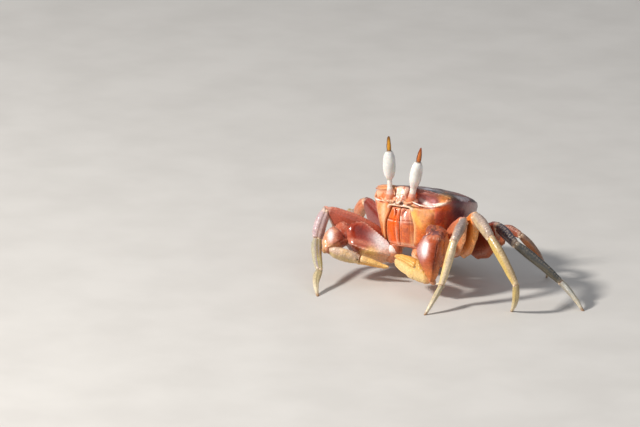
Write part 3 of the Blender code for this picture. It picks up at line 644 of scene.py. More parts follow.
# ---------------------------------------------------------------- legs
SIZE = {1: 1.0, 2: 1.06, 3: 1.0, 4: 0.80}
LEG_KEYS = {
    "merus": (((0, .045), (.12, .050), (.30, .085), (.60, .092), (.88, .074), (1, .050)),
              ((0, .045), (.12, .080), (.32, .190), (.58, .235), (.84, .190), (1, .070)),
              ((0, .040), (.12, .042), (.35, .054), (.70, .054), (1, .042))),
    "carpus": (((0, .048), (.30, .066), (.75, .068), (1, .050)),
               ((0, .050), (.30, .060), (.75, .062), (1, .046)),
               ((0, .044), (.40, .054), (1, .040))),
    "propodus": (((0, .048), (.25, .058), (.70, .052), (1, .036)),
                 ((0, .046), (.25, .056), (.70, .050), (1, .034)),
                 ((0, .038), (.30, .044), (.75, .038), (1, .028))),
    "dactyl": (((0, .036), (.20, .042), (.60, .030), (.90, .018), (1, .013)),
               ((0, .034), (.20, .038), (.60, .028), (.90, .017), (1, .013)),
               ((0, .026), (.30, .028), (.70, .021), (1, .013))),
}
PARTS = ("merus", "carpus", "propodus", "dactyl")


def leg_joints(name):
    side = 1 if name[0] == "L" else -1
    x, y, z = COXA[int(name[1])]
    joints = [to_world((side * x, y, z))]
    lengths = LENGTHS[int(name[1])]
    for length, (yaw, el) in zip(lengths[:3], POSE[name][:3]):
        joints.append(joints[-1] + length * heading(yaw, el, side))
    length = lengths[3]
    yaw, inward = POSE[name][3]
    el = -math.degrees(math.asin(min(joints[-1][2] / length, 0.999)))
    joints.append(joints[-1] + length * heading(yaw, -180 - el if inward else el, side))
    joints[-1][2] = 0.0
    return joints


def leg_plane(joints):
    n = unit(np.cross(unit(joints[1] - joints[0]), unit(joints[3] - joints[2])))
    return n if n[1] < 0 or abs(n[1]) < 0.2 and n[0] * joints[1][0] < 0 else -n


def joint_plane(a, b, c):
    return b, unit(unit(b - a) + unit(c - b))


def leg_frame(name, i):
    j = leg_joints(name)
    n = leg_plane(j)
    a, b = j[i], j[i + 1]
    d = unit(b - a)
    if i == 0:
        n = unit(np.cross(d, (0, 0, 1))) * (1 if np.cross(d, (0, 0, 1)) @ n > 0 else -1)
    front = unit(n - d * (n @ d))
    up = np.cross(front, d)
    if up[2] < 0 and i < 2 or (i >= 2 and up @ unit(j[1] - j[0] + np.array((0, 0, 0.3))) < 0):
        up = -up
    if np.cross(up, front) @ d < 0:
        front = -front
    return j, a, b, d, up, front


def clear_of_body(points, clearance):
    """Pushes points that lie in the body out to the clearance from its skin."""
    shape = points.shape
    points = points.reshape(-1, 3).copy()
    for _ in range(8):
        q = to_body(points)
        f = block(q)
        inside = f < clearance
        if not inside.any():
            break
        e = 1e-4
        grad = np.stack([(block(q + e * np.eye(3)[k]) - f) / e for k in range(3)], -1)
        grad /= np.linalg.norm(grad, axis=-1)[:, None] + 1e-9
        q = q + np.where(inside, clearance - f + 1e-4, 0)[:, None] * grad
        points = to_world(q)
    return points.reshape(shape)


def rounded(t, start, end, least):
    """Shoulders at both ends of a plate: 1 along it, falling to least within start and end of its ends."""
    a = np.clip(1 - t / start, 0, 1)
    b = np.clip(1 - (1 - t) / end, 0, 1)
    return (least + (1 - least) * np.sqrt(1 - a ** 2)) * (least + (1 - least) * np.sqrt(1 - b ** 2))


def spaced(n, ends=0.35):
    """0 to 1 with closer steps towards both ends."""
    u = np.linspace(0, 1, n)
    return u * (1 - ends) + ends * (0.5 - 0.5 * np.cos(math.pi * u))


# facing the head, facing the tail, along the upper edge, along the lower edge
LEG_TINT = {
    "L1": {"merus": (srgb(214, 130, 92), srgb(170, 84, 58), srgb(200, 110, 88), srgb(222, 150, 100)),
           "carpus": (srgb(196, 172, 152), srgb(176, 140, 116), srgb(150, 134, 132), srgb(208, 176, 138)),
           "propodus": (srgb(230, 200, 136), srgb(190, 160, 112), srgb(204, 184, 156), srgb(236, 202, 142)),
           "dactyl": (srgb(206, 188, 142), srgb(186, 166, 126), srgb(190, 176, 148), srgb(214, 196, 150))},
    "L2": {"merus": (srgb(240, 138, 56), srgb(206, 100, 40), srgb(236, 170, 120), srgb(240, 160, 88)),
           "carpus": (srgb(204, 180, 144), srgb(158, 118, 92), srgb(168, 148, 138), srgb(206, 168, 118)),
           "propodus": (srgb(208, 178, 104), srgb(128, 86, 66), srgb(178, 154, 116), srgb(190, 152, 92)),
           "dactyl": (srgb(196, 172, 110), srgb(160, 134, 92), srgb(182, 162, 120), srgb(206, 184, 130))},
    "L3": {"merus": (srgb(136, 62, 40), srgb(104, 46, 36), srgb(110, 62, 62), srgb(176, 92, 52)),
           "carpus": (srgb(92, 76, 82), srgb(88, 62, 56), srgb(80, 72, 86), srgb(128, 94, 74)),
           "propodus": (srgb(112, 104, 84), srgb(98, 80, 62), srgb(92, 94, 94), srgb(140, 124, 88)),
           "dactyl": (srgb(166, 160, 146), srgb(142, 132, 116), srgb(150, 150, 144), srgb(180, 172, 150))},
    "L4": {"merus": (srgb(162, 70, 44), srgb(136, 54, 38), srgb(150, 76, 60), srgb(186, 104, 64)),
           "carpus": (srgb(172, 86, 58), srgb(146, 68, 48), srgb(156, 94, 78), srgb(182, 112, 74)),
           "propodus": (srgb(168, 104, 60), srgb(140, 84, 54), srgb(138, 108, 94), srgb(182, 132, 82)),
           "dactyl": (srgb(176, 140, 96), srgb(150, 116, 84), srgb(160, 132, 104), srgb(190, 160, 114))},
    "R1": {"merus": (srgb(196, 102, 80), srgb(176, 84, 62), srgb(206, 120, 98), srgb(220, 148, 110)),
           "carpus": (srgb(214, 188, 180), srgb(186, 148, 140), srgb(196, 170, 176), srgb(214, 176, 150)),
           "propodus": (srgb(142, 122, 140), srgb(210, 200, 136), srgb(186, 178, 150), srgb(150, 128, 142)),
           "dactyl": (srgb(196, 178, 136), srgb(204, 190, 146), srgb(190, 176, 146), srgb(206, 188, 146))},
}
# painted shade: the third left leg's carpus and propodus are darkened to 0.68 of their tints
LEG_TINT["L3"].update({part: tuple(c * 0.68 for c in LEG_TINT["L3"][part]) for part in ("carpus", "propodus")})
# painted light: the second left leg's merus is lightened by 12 per cent to offset the shade it falls in
LEG_TINT["L2"]["merus"] = tuple(np.minimum(c * 1.12, 1.0) for c in LEG_TINT["L2"]["merus"])
LEG_TINT["R2"] = {"merus": (srgb(134, 44, 32), srgb(150, 60, 40), srgb(150, 62, 52), srgb(196, 104, 62)),
                  "carpus": (srgb(206, 120, 78), srgb(196, 116, 76), srgb(206, 140, 110), srgb(214, 138, 86)),
                  "propodus": (srgb(190, 160, 100), srgb(196, 168, 108), srgb(160, 134, 122), srgb(204, 170, 112)),
                  "dactyl": LEG_TINT["L2"]["dactyl"]}
LEG_TINT["R3"] = {"merus": LEG_TINT["L4"]["merus"], "carpus": LEG_TINT["L3"]["carpus"],
                  "propodus": (srgb(176, 152, 104), srgb(182, 158, 108), srgb(134, 120, 116), srgb(190, 160, 108)),
                  "dactyl": LEG_TINT["L3"]["dactyl"]}
LEG_TINT["R4"] = LEG_TINT["L4"]


def leg_piece(name, i):
    part = PARTS[i]
    j, a, b, d, up, front = leg_frame(name, i)
    scale = SIZE[int(name[1])]
    k_up, k_down, k_thick = LEG_KEYS[part]
    R, A = ((150, 72), (64, 64), (96, 60), (90, 48))[i]
    t = spaced(R)
    th = np.arange(A) * 2 * math.pi / A
    C, S = np.cos(th), np.sin(th)
    bow = (0.015, 0.012, 0.018, 0.030)[i]
    centres = a + (b - a) * t[:, None] + up * (bow * np.sin(math.pi * t))[:, None]
    high, low, thick = (keyed(k, t) * scale for k in (k_up, k_down, k_thick))
    power = 0.92
    c2 = np.sign(C) * np.abs(C) ** power
    if i == 0:
        s2 = np.sign(S) * np.abs(S) ** 1.12
    elif i == 2:
        s2 = np.sign(S) * np.abs(S) ** 1.05
    else:
        s2 = np.sign(S) * np.abs(S) ** power
    along = np.broadcast_to(d, (R, 3))
    frames = (along, np.broadcast_to(up, (R, 3)), np.broadcast_to(front, (R, 3)))
    ends = rounded(t, 0.05 if i else 0.03, (0.035, 0.07, 0.05, 0.001)[i], (0.86, 0.80, 0.82, 0.80)[i])
    if i == 3:
        ends = rounded(t, 0.06, 1e-6, 0.80)
    rim = 1 + 0.05 * bell(t, (0.955, 0.93, 0.945, 2)[i], 0.018)
    w = (ends * rim)[:, None]
    A_len = np.where(C > 0, high[:, None] * c2, low[:, None] * c2) * w
    B_len = thick[:, None] * s2 * w
    if i == 0:      # flat faces with a shallow furrow along the upper third
        B_len = B_len * (1 - 0.16 * bell(C, 0.55, 0.16) - 0.05 * bell(C, -0.35, 0.3))
    if i == 1:
        B_len = B_len * (1 - 0.12 * bell(C, 0.25, 0.18))
    if i == 2:
        B_len = B_len * (1 - 0.15 * bell(C, 0.15, 0.20))
    if i == 3:      # fluted, with narrow keels
        keel = 1 + 0.075 * np.cos(6 * th)[None, :] * (bell(t, 0.45, 0.42)[:, None])
        A_len, B_len = A_len * keel, B_len * keel
    start = (a, -d)
    if i:
        p, m = joint_plane(j[i - 1], a, b)
        start = (p + m * GAP * 0.35, -m)
    if i == 3:
        end = (np.zeros(3), np.array((0.0, 0.0, -1.0)))
    else:
        p, m = joint_plane(a, b, j[i + 2])
        end = (p - m * GAP * 0.35, m)
    P = tube_points(centres, frames, A_len, B_len, start, end, 0.030, 1.0 if i == 3 else 0.030)
    if i == 0:
        P = clear_of_body(P, GAP * 1.2)
    N = grid_normals(P)
    tt = np.broadcast_to(t[:, None], (R, A))
    CC = np.broadcast_to(C[None], (R, A))
    SS = np.broadcast_to(S[None], (R, A))
    flat = P.reshape(-1, 3)
    # granules: rows of beads on the edges, finer ones over the faces
    seed = 3.1 * i + 11.7 * list(POSE).index(name)
    length = np.linalg.norm(b - a)
    row = np.maximum(0, np.cos(2 * math.pi * tt * length / 0.030)) ** 0.7
    edge = bell(np.abs(CC), 1.0, 0.020 if i == 0 else 0.05)
    grain = beads(flat, 0.021, 0.40, 0.75, seed).reshape(R, A)
    coarse = bell(CC, 0.9, 0.45) + 0.5 * bell(CC, -1.0, 0.3)
    middle = step(0.02, 0.10, tt) * step(0.99, 0.93, tt)
    strength = (0.0032, 0.0028, 0.0022, 0.0)[i]
    relief = middle * (edge * row * strength + grain * (0.3 + coarse) * strength * (0.55, 0.85, 0.5, 0)[i])
    relief = relief + 0.0016 * (fbm(flat, 16, 3, seed).reshape(R, A) - 0.5)
    if i == 3:
        relief = relief + 0.0010 * (noise(flat, 90, seed).reshape(R, A) - 0.5)
    foot = step(0.0, 0.010, P[..., 2]) if i == 3 else 1.0
    P = P + N * (relief * foot)[..., None]
    if i == 3:
        P[..., 2] = np.maximum(P[..., 2], 0.0)
    # colours
    front_c, back_c, up_c, down_c = LEG_TINT[name][part]
    facing = N @ unit(np.array((0.35 if name[0] == "L" else -0.35, -1.0, 0.0)))
    patches = fbm(flat, 9, 4, seed + 5).reshape(R, A)
    col = mix(back_c, front_c, step(-0.35, 0.35, facing + 0.5 * (patches - 0.5)))
    col = mix(col, up_c, step(0.45, 0.95, CC + 0.5 * (patches - 0.5)))
    col = mix(col, down_c, step(0.40, 0.95, -CC + 0.5 * (patches - 0.5)))
    if i == 0:
        col = mix(col, col * 0.62, 0.55 * bell(CC, 0.35, 0.25) * step(0.35, 0.65, patches))
        col = mix(col, CREAM, 0.45 * step(0.10, 0.0, tt))
        col = mix(col, PALE, 0.35 * bell(tt, 0.985, 0.02))
    if i == 1:
        col = mix(col, up_c * 0.8, 0.5 * step(0.48, 0.62, patches))
        col = mix(col, CREAM, 0.45 * bell(tt, 0.0, 0.06) + 0.35 * bell(tt, 0.985, 0.04))
    if i == 2:
        col = mix(col, up_c * 0.72, 0.45 * step(0.50, 0.66, patches) * step(1.0, 0.0, tt))
        col = mix(col, CREAM, 0.30 * bell(tt, 0.0, 0.04) + 0.4 * bell(tt, 0.99, 0.04))
    if i == 3:
        col = mix(col, srgb(226, 214, 188), step(0.35, 0.8, tt) * 0.55)
        col = mix(col, srgb(150, 104, 66), step(0.86, 1.0, tt) * 0.8)
        col = mix(col, srgb(126, 104, 84), 0.35 * bell(tt, 0.0, 0.10))
    col = mix(col, CREAM, np.clip(relief / 0.0036, 0, 1) ** 1.5 * (0.34, 0.34, 0.30, 0.0)[i])
    col = col * (0.90 + 0.20 * noise(flat, 55, seed).reshape(R, A))[..., None]
    shape = Shape().tube(P, col)
    # joint skin that fills the bend behind this piece, and the little pegs the joint turns on
    if i:
        p, m = joint_plane(j[i - 1], a, b)
        side_axis = unit(front - m * (front @ m))
        up_axis = np.cross(side_axis, m)
        ru, rf = min(high[2], low[2]) * 0.86, thick[2] * 0.86
        skin = ball(p, (m * 0.036, up_axis * ru, side_axis * rf))
        shape.tube(skin, mix(srgb(214, 168, 140), srgb(150, 96, 84), noise(skin, 30, seed)))
        for s in (-1, 1):
            peg = ball(p + side_axis * s * rf * 0.98 + m * 0.004, (side_axis * 0.012, up_axis * 0.016, m * 0.016), 8, 14)
            shape.tube(peg, mix(CREAM, col[2].mean(0), 0.35))
    else:
        q = a + d * 0.020
        skin = ball(q, (d * 0.050, up * high[0] * 0.92, front * thick[0] * 0.92))
        shape.tube(skin, mix(CREAM, back_c, 0.4 * noise(skin, 25, seed)))
    if name == "L1" and i == 2:     # a short spur beside the last joint
        tip = b - d * 0.020
        spur = ball(tip + front * 0.028 + d * 0.006, (unit(front + 0.5 * d) * 0.028, up * 0.012, d * 0.012), 10, 14)
        shape.tube(spur, CREAM)
    return shape, (P, N, t, th)


# ---------------------------------------------------------------- claws
def arm_joints(s):
    c = CLAWS[s]
    return [to_world(c["root"])] + [np.array(c[k]) for k in ("bend", "elbow", "wrist", "tip")]


def three_sided(C_angle, up, down, ridge, back, hollow):
    """Rounded triangle sections (R, A): corners up, ridge (facing forward) and down; hollow dents the upper front face."""
    A = len(C_angle)
    u = 3.0 * np.arange(A) / A
    i = u.astype(int) % 3
    f = (u - u.astype(int))[None, :]
    z = np.zeros_like(up)
    cx = np.stack([up, z, -down], 1)
    cy = np.stack([-back, ridge, -back], 1)
    ax, ay = cx[:, i], cy[:, i]
    bx, by = cx[:, (i + 1) % 3], cy[:, (i + 1) % 3]
    px, py = ax + (bx - ax) * f, ay + (by - ay) * f
    bow = 4 * f * (1 - f)
    my = ((ridge - 2 * back) / 3)[:, None]
    swell = np.where((i == 0)[None, :], 0.16 - hollow[:, None], 0.16) * bow
    px, py = px * (1 + swell), my + (py - my) * (1 + swell)
    tight = 1 - 0.10 * (1 - bow)
    return px * tight, my + (py - my) * tight, i, f[0], bow[0]


def arm_piece(s):
    a, bend, b, w, _ = arm_joints(s)
    k = CLAWS[s]["bulk"]
    R, A = 170, 108
    t = spaced(R)
    T = t[:, None]
    centres = (1 - T) ** 2 * a + 2 * T * (1 - T) * bend + T * T * b
    d = unit((1 - T) * (bend - a) + T * (b - bend))
    up = unit(np.array((0, 0, 1.0)) - d * d[:, 2:3])
    front = unit(np.cross(up, d))
    front = np.where(front[:, 1:2] > 0, -front, front)
    h = keyed(((0, .105), (.15, .130), (.45, .175), (.80, .190), (.94, .165), (1, .130)) if s == "L" else
              ((0, .105), (.15, .130), (.45, .175), (.75, .186), (.92, .152), (1, .118)), t) * k
    rise = np.ones(R) if s == "L" else 1.0 + 0.26 * step(0.35, 0.80, t)
    g = keyed(((0, .070), (.20, .085), (.55, .130), (.85, .140), (1, .110)), t) * k
    hollow = (0.40 if s == "R" else 0.10) * bell(t, 0.56, 0.26)
    px, py, face_i, f, bow = three_sided(np.arange(A), h * rise, h * 1.12, g, g * 0.60, hollow)
    th = 2 * math.pi * np.arange(A) / A
    C, S = np.cos(th)[None], np.sin(th)[None]
    ex = 0.92 * h[:, None] * C * np.where(C > 0, rise[:, None], 1.0)
    ey = np.where(S > 0, 0.92, 0.85) * g[:, None] * S
    blend = step(0.70, 1.0, t)[:, None]
    px, py = px * (1 - blend) + ex * blend, py * (1 - blend) + ey * blend
    ends = (rounded(t, 0.03, 0.055, 0.84) * (1 + 0.035 * bell(t, 0.93, 0.02)))[:, None] if s == "L" else rounded(t, 0.03, 0.10, 0.80)[:, None]
    p, m = joint_plane(bend, b, w)
    P = tube_points(centres, (d, up, front), px * ends, py * ends, (a, -unit(bend - a)), (p - m * GAP * 0.35, m))
    if s == "R":
        # the oblique end closes in a dome towards its knuckle
        u = unit(b - bend)
        depth = np.maximum((p - P) @ m, 0)
        along = p - u * (depth / max(u @ m, 0.35))[..., None]
        P = along + (P - along) * np.sqrt(1 - 0.78 * np.clip(1 - depth / 0.13, 0, 1) ** 2)[..., None]
    P = clear_of_body(P, GAP * 2.6)
    N = grid_normals(P)
    flat = P.reshape(-1, 3)
    tt = np.broadcast_to(T, (R, A))
    corner = np.broadcast_to(np.minimum(np.abs(3 * np.arange(A) / A - 0), np.minimum(np.abs(3 * np.arange(A) / A - 1), np.minimum(np.abs(3 * np.arange(A) / A - 2), np.abs(3 * np.arange(A) / A - 3))))[None], (R, A))
    seed = 5.0 if s == "L" else 9.0
    length = np.linalg.norm(b - a)
    row = np.maximum(0, np.cos(2 * math.pi * tt * length / 0.032)) ** 0.6
    on_edge = bell(corner, 0, 0.045)
    grain = beads(flat, 0.022, 0.40, 0.7, seed).reshape(R, A)
    FI = np.broadcast_to(face_i[None], (R, A))
    hollow_mask = np.where(FI == 0, 1.0, 0.0) * np.broadcast_to(bow[None], (R, A)) ** 0.7 * bell(tt, 0.58, 0.30) if s == "R" else np.zeros((R, A))
    mid_t = step(0.05, 0.16, tt) * step(0.99, 0.94, tt)
    relief = mid_t * (0.0034 * on_edge * row + 0.0026 * grain * np.clip(1.0 - 1.6 * hollow_mask, 0.05, 1))
    relief = relief + 0.0022 * (fbm(flat, 12, 3, seed).reshape(R, A) - 0.5)
    P = P + N * relief[..., None]
    patches = fbm(flat, 8, 4, seed + 3).reshape(R, A)
    if s == "R":
        col = np.broadcast_to(srgb(202, 114, 88), (R, A, 3))
        col = mix(col, srgb(220, 142, 118), step(0.5, 0.7, patches) * 0.6)
        col = mix(col, srgb(176, 74, 46), np.clip(hollow_mask * 1.8 - 0.10, 0, 1) * 0.85)
        col = mix(col, srgb(132, 32, 12), step(0.34, 0.76, hollow_mask + 0.16 * (patches - 0.5)) * 0.95)
        # painted highlight: pale pink-cream along the edges of the right arm, except at the elbow end
        col = mix(col, srgb(232, 176, 156), bell(corner, 0, 0.055) * step(0.90, 0.75, tt) * 0.55)
        under = (FI == 1) * 1.0
        # painted shadow: the underside turns dark orange-brown towards the elbow, where the wrist shades it, and beige
        # towards the root
        low = mix(np.broadcast_to(srgb(160, 72, 22), (R, A, 3)), srgb(240, 202, 140), step(0.66, 0.50, tt + 0.12 * (patches - 0.5)))
        below = under * step(0.02, 0.18, np.broadcast_to(f[None], (R, A)))
        low = mix(low, srgb(222, 156, 108), step(0.40, 0.30, tt + 0.12 * (patches - 0.5)) * 0.8)
        col = mix(col, low, below)
        col = mix(col, srgb(206, 140, 96), (FI == 2) * 0.7)
        # pale shell with a painted highlight: the root end of the right arm turns near white
        col = mix(col, srgb(255, 250, 246), step(0.44, 0.30, tt + 0.12 * (patches - 0.5)) * (1 - 0.85 * below) * 0.98)
        col = mix(col, srgb(232, 170, 160), 0.4 * bell(tt, 0.36, 0.05) * step(0.45, 0.6, patches))
        col = mix(col, srgb(162, 48, 12), spot(P, N, 360, 230.5, 18, 8.5, 27, 0.3) * (1 - below) * 0.97)
        col = mix(col, srgb(120, 22, 4), spot(P, N, 357.5, 230.5, 14, 5.0, 27, 0.6) * (1 - below) * 0.75)
        col = mix(col, srgb(206, 128, 104), spot(P, N, 361, 242, 19, 2.6, 12, 0.4) * 0.8)
        # painted shadow: a dark brown patch on the underside below the hollow, near the elbow
        col = mix(col, srgb(128, 40, 4), spot(P, N, 353, 250.5, 8.5, 8.5, 0, 0.4))
        col = mix(col, srgb(255, 214, 140), spot(P, N, 370, 254, 9.5, 6.5, -8, 0.4))
        col = mix(col, srgb(226, 150, 92), spot(P, N, 386, 251.5, 8.5, 4.5, -14, 0.4) * 0.8)
        # painted highlight: pure white over the root of the right arm
        col = mix(col, srgb(255, 255, 255), spot(P, N, 389, 240.0, 17.0, 10.0, 14, 0.25))
    else:
        col = np.broadcast_to(srgb(224, 126, 62), (R, A, 3))
        col = mix(col, srgb(230, 150, 92), step(0.45, 0.7, patches) * 0.6)
        spots = step(0.52, 0.64, fbm(flat, 20, 2, 3.3).reshape(R, A)) * step(0.80, 0.90, tt)
        col = mix(col, srgb(206, 116, 76), step(0.80, 0.96, tt) * 0.7)
        col = mix(col, srgb(112, 60, 66), spots * 0.7)
        col = mix(col, CREAM, step(0.22, 0.05, tt) * 0.6)
        col = mix(col, srgb(234, 140, 66), spot(P, N, 446, 246, 6.0, 16, 0, 0.4) * 0.8)
        col = mix(col, srgb(150, 80, 66), spot(P, N, 431, 227, 13, 5.0, -24, 0.5) * 0.7)
    col = mix(col, CREAM, np.clip(relief / 0.0034, 0, 1) ** 1.5 * 0.22)
    col = col * (0.90 + 0.20 * noise(flat, 60, seed).reshape(R, A))[..., None]
    shape = Shape().tube(P, col)
    q = a - unit(bend - a) * 0.010
    low = 0.80 if s == "L" else 1.0    # the left root passes under the edge of the cheek
    skin = ball(q, (unit(bend - a) * 0.070, up[0] * 0.098 * k * low, front[0] * 0.066 * k))
    shape.tube(skin, mix(srgb(252, 240, 230) if s == "R" else srgb(226, 160, 116), srgb(240, 200, 180) if s == "R" else srgb(224, 160, 140), noise(skin, 20, seed)))
    # ischium: a short ring between the body and the arm
    ring = ball(a + unit(bend - a) * 0.004, (unit(bend - a) * 0.092, up[0] * 0.100 * k * low, front[0] * 0.078 * k), 24, 48)
    ring_n = fbm(ring, 14, 3, seed)
    if s == "L":
        ring_col = mix(srgb(222, 150, 104), srgb(236, 190, 150), step(0.40, 0.70, ring_n))
    else:
        # pale shell with a painted highlight: the right ring is near white
        ring_col = mix(srgb(255, 252, 248), srgb(248, 222, 202), step(0.45, 0.75, ring_n))
        ring_col = mix(ring_col, srgb(216, 146, 106), step(0.335, 0.275, ring[..., 2] + 0.05 * (ring_n - 0.5)))
    shape.tube(ring, ring_col)
    return shape


def wrist_piece(s):
    _, bend, b, w, tip = arm_joints(s)
    k = CLAWS[s]["bulk"]
    d = unit(w - b)
    front = unit(np.array((0.45, -1.0, 0.1)) - d * (np.array((0.45, -1.0, 0.1)) @ d))
    up = unit(np.cross(front, d))
    inner, outer, fore, aft = (1.42, 0.52, 0.98, 0.80) if s == "L" else (1.10, 0.72, 0.72, 0.92)
    R, A = 120, 96
    t = spaced(R)
    th = 2 * math.pi * np.arange(A) / A
    C, S = np.cos(th)[None], np.sin(th)[None]
    centres = b + (w - b) * t[:, None] + front * (0.015 * np.sin(math.pi * t))[:, None]
    g = keyed(((0, .100 if s == "L" else .112), (.18, .128 if s == "L" else .134), (.50, .134), (.82, .108), (1, .070)), t)[:, None] * k
    f = keyed(((0, .085), (.25, .115), (.60, .118), (1, .068)), t)[:, None] * k
    ends = rounded(t, 0.10, 0.08, 0.78)[:, None]
    c2, s2 = np.sign(C) * np.abs(C) ** 0.95, np.sign(S) * np.abs(S) ** 0.95
    a_len = np.where(C > 0, g * outer, g * inner) * c2 * ends
    b_len = np.where(S > 0, f * fore, f * aft) * s2 * ends
    one = np.ones((R, 1))
    p, m = joint_plane(bend, b, w)
    p2, m2 = joint_plane(b, w, tip)
    P = tube_points(centres, (one * d, one * up, one * front), a_len, b_len, (p + m * GAP * 0.35, -m), (p2 - m2 * GAP * 0.35, m2))
    N = grid_normals(P)
    flat = P.reshape(-1, 3)
    tt = np.broadcast_to(t[:, None], (R, A))
    TH = np.broadcast_to(th[None], (R, A))
    seed = 15.0 if s == "L" else 19.0
    grain = beads(flat, 0.030, 0.36, 0.5, seed).reshape(R, A)
    fine = beads(flat, 0.017, 0.38, 0.6, seed + 4).reshape(R, A)
    # smooth glossy back of the wrist; granules gather along the upper rim and the inner edge
    glossy = bell(np.angle(np.exp(1j * (TH - (2.2 if s == "L" else 2.4)))), 0, 0.95) * step(0.10, 0.25, tt) * step(0.98, 0.80, tt)
    rim_t = bell(tt, 0.11, 0.035)
    rim_beads = rim_t * np.maximum(0, np.cos(TH * 26)) ** 0.7
    inner_edge = bell(np.angle(np.exp(1j * (TH - math.pi * 0.93))), 0, 0.10) * step(0.1, 0.2, tt) * step(0.97, 0.85, tt)
    edge_beads = inner_edge * np.maximum(0, np.cos(2 * math.pi * tt * np.linalg.norm(w - b) / 0.030)) ** 0.7
    relief = 0.0046 * rim_beads + 0.0036 * edge_beads + (0.0026 * grain + 0.0014 * fine) * np.clip(1 - 1.15 * glossy, 0.04, 1)
    groove = bell(np.angle(np.exp(1j * (TH - 1.15))), 0, 0.09) * step(0.15, 0.3, tt) * step(0.95, 0.8, tt)
    relief = relief - 0.006 * groove + 0.0020 * (fbm(flat, 12, 3, seed).reshape(R, A) - 0.5)
    P = P + N * relief[..., None]
    patches = fbm(flat, 9, 4, seed + 3).reshape(R, A)
    if s == "L":
        col = np.broadcast_to(srgb(180, 82, 40), (R, A, 3))
        col = mix(col, srgb(168, 84, 62), glossy * 0.40)
        # painted highlight: a near-white streak down the glossy back of the left wrist
        col = mix(col, srgb(238, 214, 214), bell(np.angle(np.exp(1j * (TH - 2.30))), 0, 0.34) * bell(tt, 0.42, 0.16) * 0.75)
        # painted shade: dark red-brown along the groove of the left wrist
        groove_shade = bell(np.angle(np.exp(1j * (TH - 1.15))), 0, 0.34)
        col = mix(col, srgb(112, 38, 24), groove_shade * 0.70)
        col = mix(col, srgb(226, 132, 66), bell(np.angle(np.exp(1j * (TH - 0.35))), 0, 0.55) * 0.9)
        col = mix(col, srgb(222, 134, 66), step(0.62, 0.95, tt) * 0.65)
        col = mix(col, srgb(120, 56, 58), bell(tt, 0.26, 0.10) * step(0.45, 0.60, patches) * 0.6)
        spots = step(0.50, 0.62, fbm(flat, 22, 2, 3.3).reshape(R, A)) * step(0.24, 0.08, tt)
        col = mix(col, srgb(200, 118, 86), step(0.20, 0.05, tt) * 0.7)
        col = mix(col, srgb(96, 56, 66), spots * 0.8)
    else:
        col = np.broadcast_to(srgb(200, 112, 82), (R, A, 3))
        col = mix(col, srgb(222, 156, 116), step(0.42, 0.62, patches) * 0.8)
        col = mix(col, srgb(140, 60, 48), step(0.62, 0.45, patches) * 0.35)
        col = mix(col, srgb(222, 172, 120), step(0.75, 1.0, tt) * 0.7)
    if s == "L":
        col = mix(col, srgb(134, 52, 22), spot(P, N, 431.5, 256, 3.6, 14, 4, 0.4) * 0.9)
        col = mix(col, srgb(176, 92, 56), spot(P, N, 438, 255, 2.6, 12, 4, 0.4) * 0.85)
        col = mix(col, srgb(232, 142, 74), spot(P, N, 441.5, 254, 3.2, 14, 2, 0.4) * 0.75)
        # painted highlight: a near-white oval on the back of the left wrist
        col = mix(col, srgb(250, 238, 238), spot(P, N, 422.5, 248, 3.2, 9.5, 6, 0.4) * 0.75)
        col = mix(col, srgb(146, 84, 84), spot(P, N, 416.5, 256, 3.0, 14, 6, 0.4) * 0.5)
    else:
        col = mix(col, srgb(216, 150, 124), spot(P, N, 334, 242, 12, 18) * 0.4)
        col = mix(col, srgb(136, 42, 22), spot(P, N, 341, 237, 4.0, 9.0, -8, 0.5) * 0.9)
        # painted highlight: a near-white oval on the left side of the right wrist
        col = mix(col, srgb(255, 244, 244), spot(P, N, 330.5, 235, 3.0, 6.5, 4, 0.4) * 0.85)
        col = mix(col, srgb(232, 196, 150), spot(P, N, 332, 252, 9.0, 6.0, 20, 0.5) * 0.7)
    bump_top = np.clip(rim_beads + 0.6 * edge_beads + 0.35 * grain * np.clip(1 - 1.15 * glossy, 0.04, 1), 0, 1)
    col = mix(col, srgb(238, 204, 180), bump_top ** 1.3 * 0.45)
    col = col * (0.90 + 0.20 * noise(flat, 60, seed).reshape(R, A))[..., None]
    shape = Shape().tube(P, col)
    side_axis = unit(front - m * (front @ m))
    up_axis = np.cross(side_axis, m)
    if s == "L":
        skin = ball(p, (m * 0.040, up_axis * 0.072 * k, side_axis * 0.060 * k), 18, 30)
        shape.tube(skin, mix(srgb(190, 104, 70), srgb(140, 70, 52), noise(skin, 30, seed)))
    else:
        high_axis = up_axis * (1.0 if up_axis[2] > 0 else -1.0)
        skin = ball(p - m * 0.006 + high_axis * 0.012, (m * (0.080 if s == "L" else 0.098), up_axis * 0.134 * k, side_axis * 0.112 * k), 60, 90)
        way = unit(skin - skin.mean((0, 1)))
        lumps = beads(skin.reshape(-1, 3), 0.026, 0.40, 0.8, seed).reshape(skin.shape[:2])
        crest = step(0.3, 0.9, way @ high_axis)
        skin = skin + way * (0.0036 * lumps * (0.25 + crest) + 0.0030 * (fbm(skin, 12, 3, seed) - 0.5))[..., None]
        tone = mix(srgb(196, 106, 78), srgb(176, 84, 60), step(0.42, 0.60, fbm(skin, 12, 3, seed)))
        tone = mix(tone, srgb(140, 44, 22), spot(skin, way, 343, 237, 5.0, 10.0, -8, 0.5) * 0.85)
        tone = mix(tone, srgb(244, 206, 184), lumps ** 1.5 * (0.15 + 0.6 * crest))
        shape.tube(skin, tone)
    return shape


def hand_axes(s):
    c = CLAWS[s]
    w, tip = np.array(c["wrist"]), np.array(c["tip"])
    a = unit(tip - w)
    up0 = unit(np.array((0, 0, 1.0)) - a * a[2])
    out0 = unit(np.cross(up0, a))
    if out0[1] > 0:
        out0 = -out0
    t = math.radians(c["tilt"])
    up = unit(up0 * math.cos(t) + out0 * math.sin(t))
    out = unit(out0 * math.cos(t) - up0 * math.sin(t))
    return w, a, up, out, np.linalg.norm(tip - w)


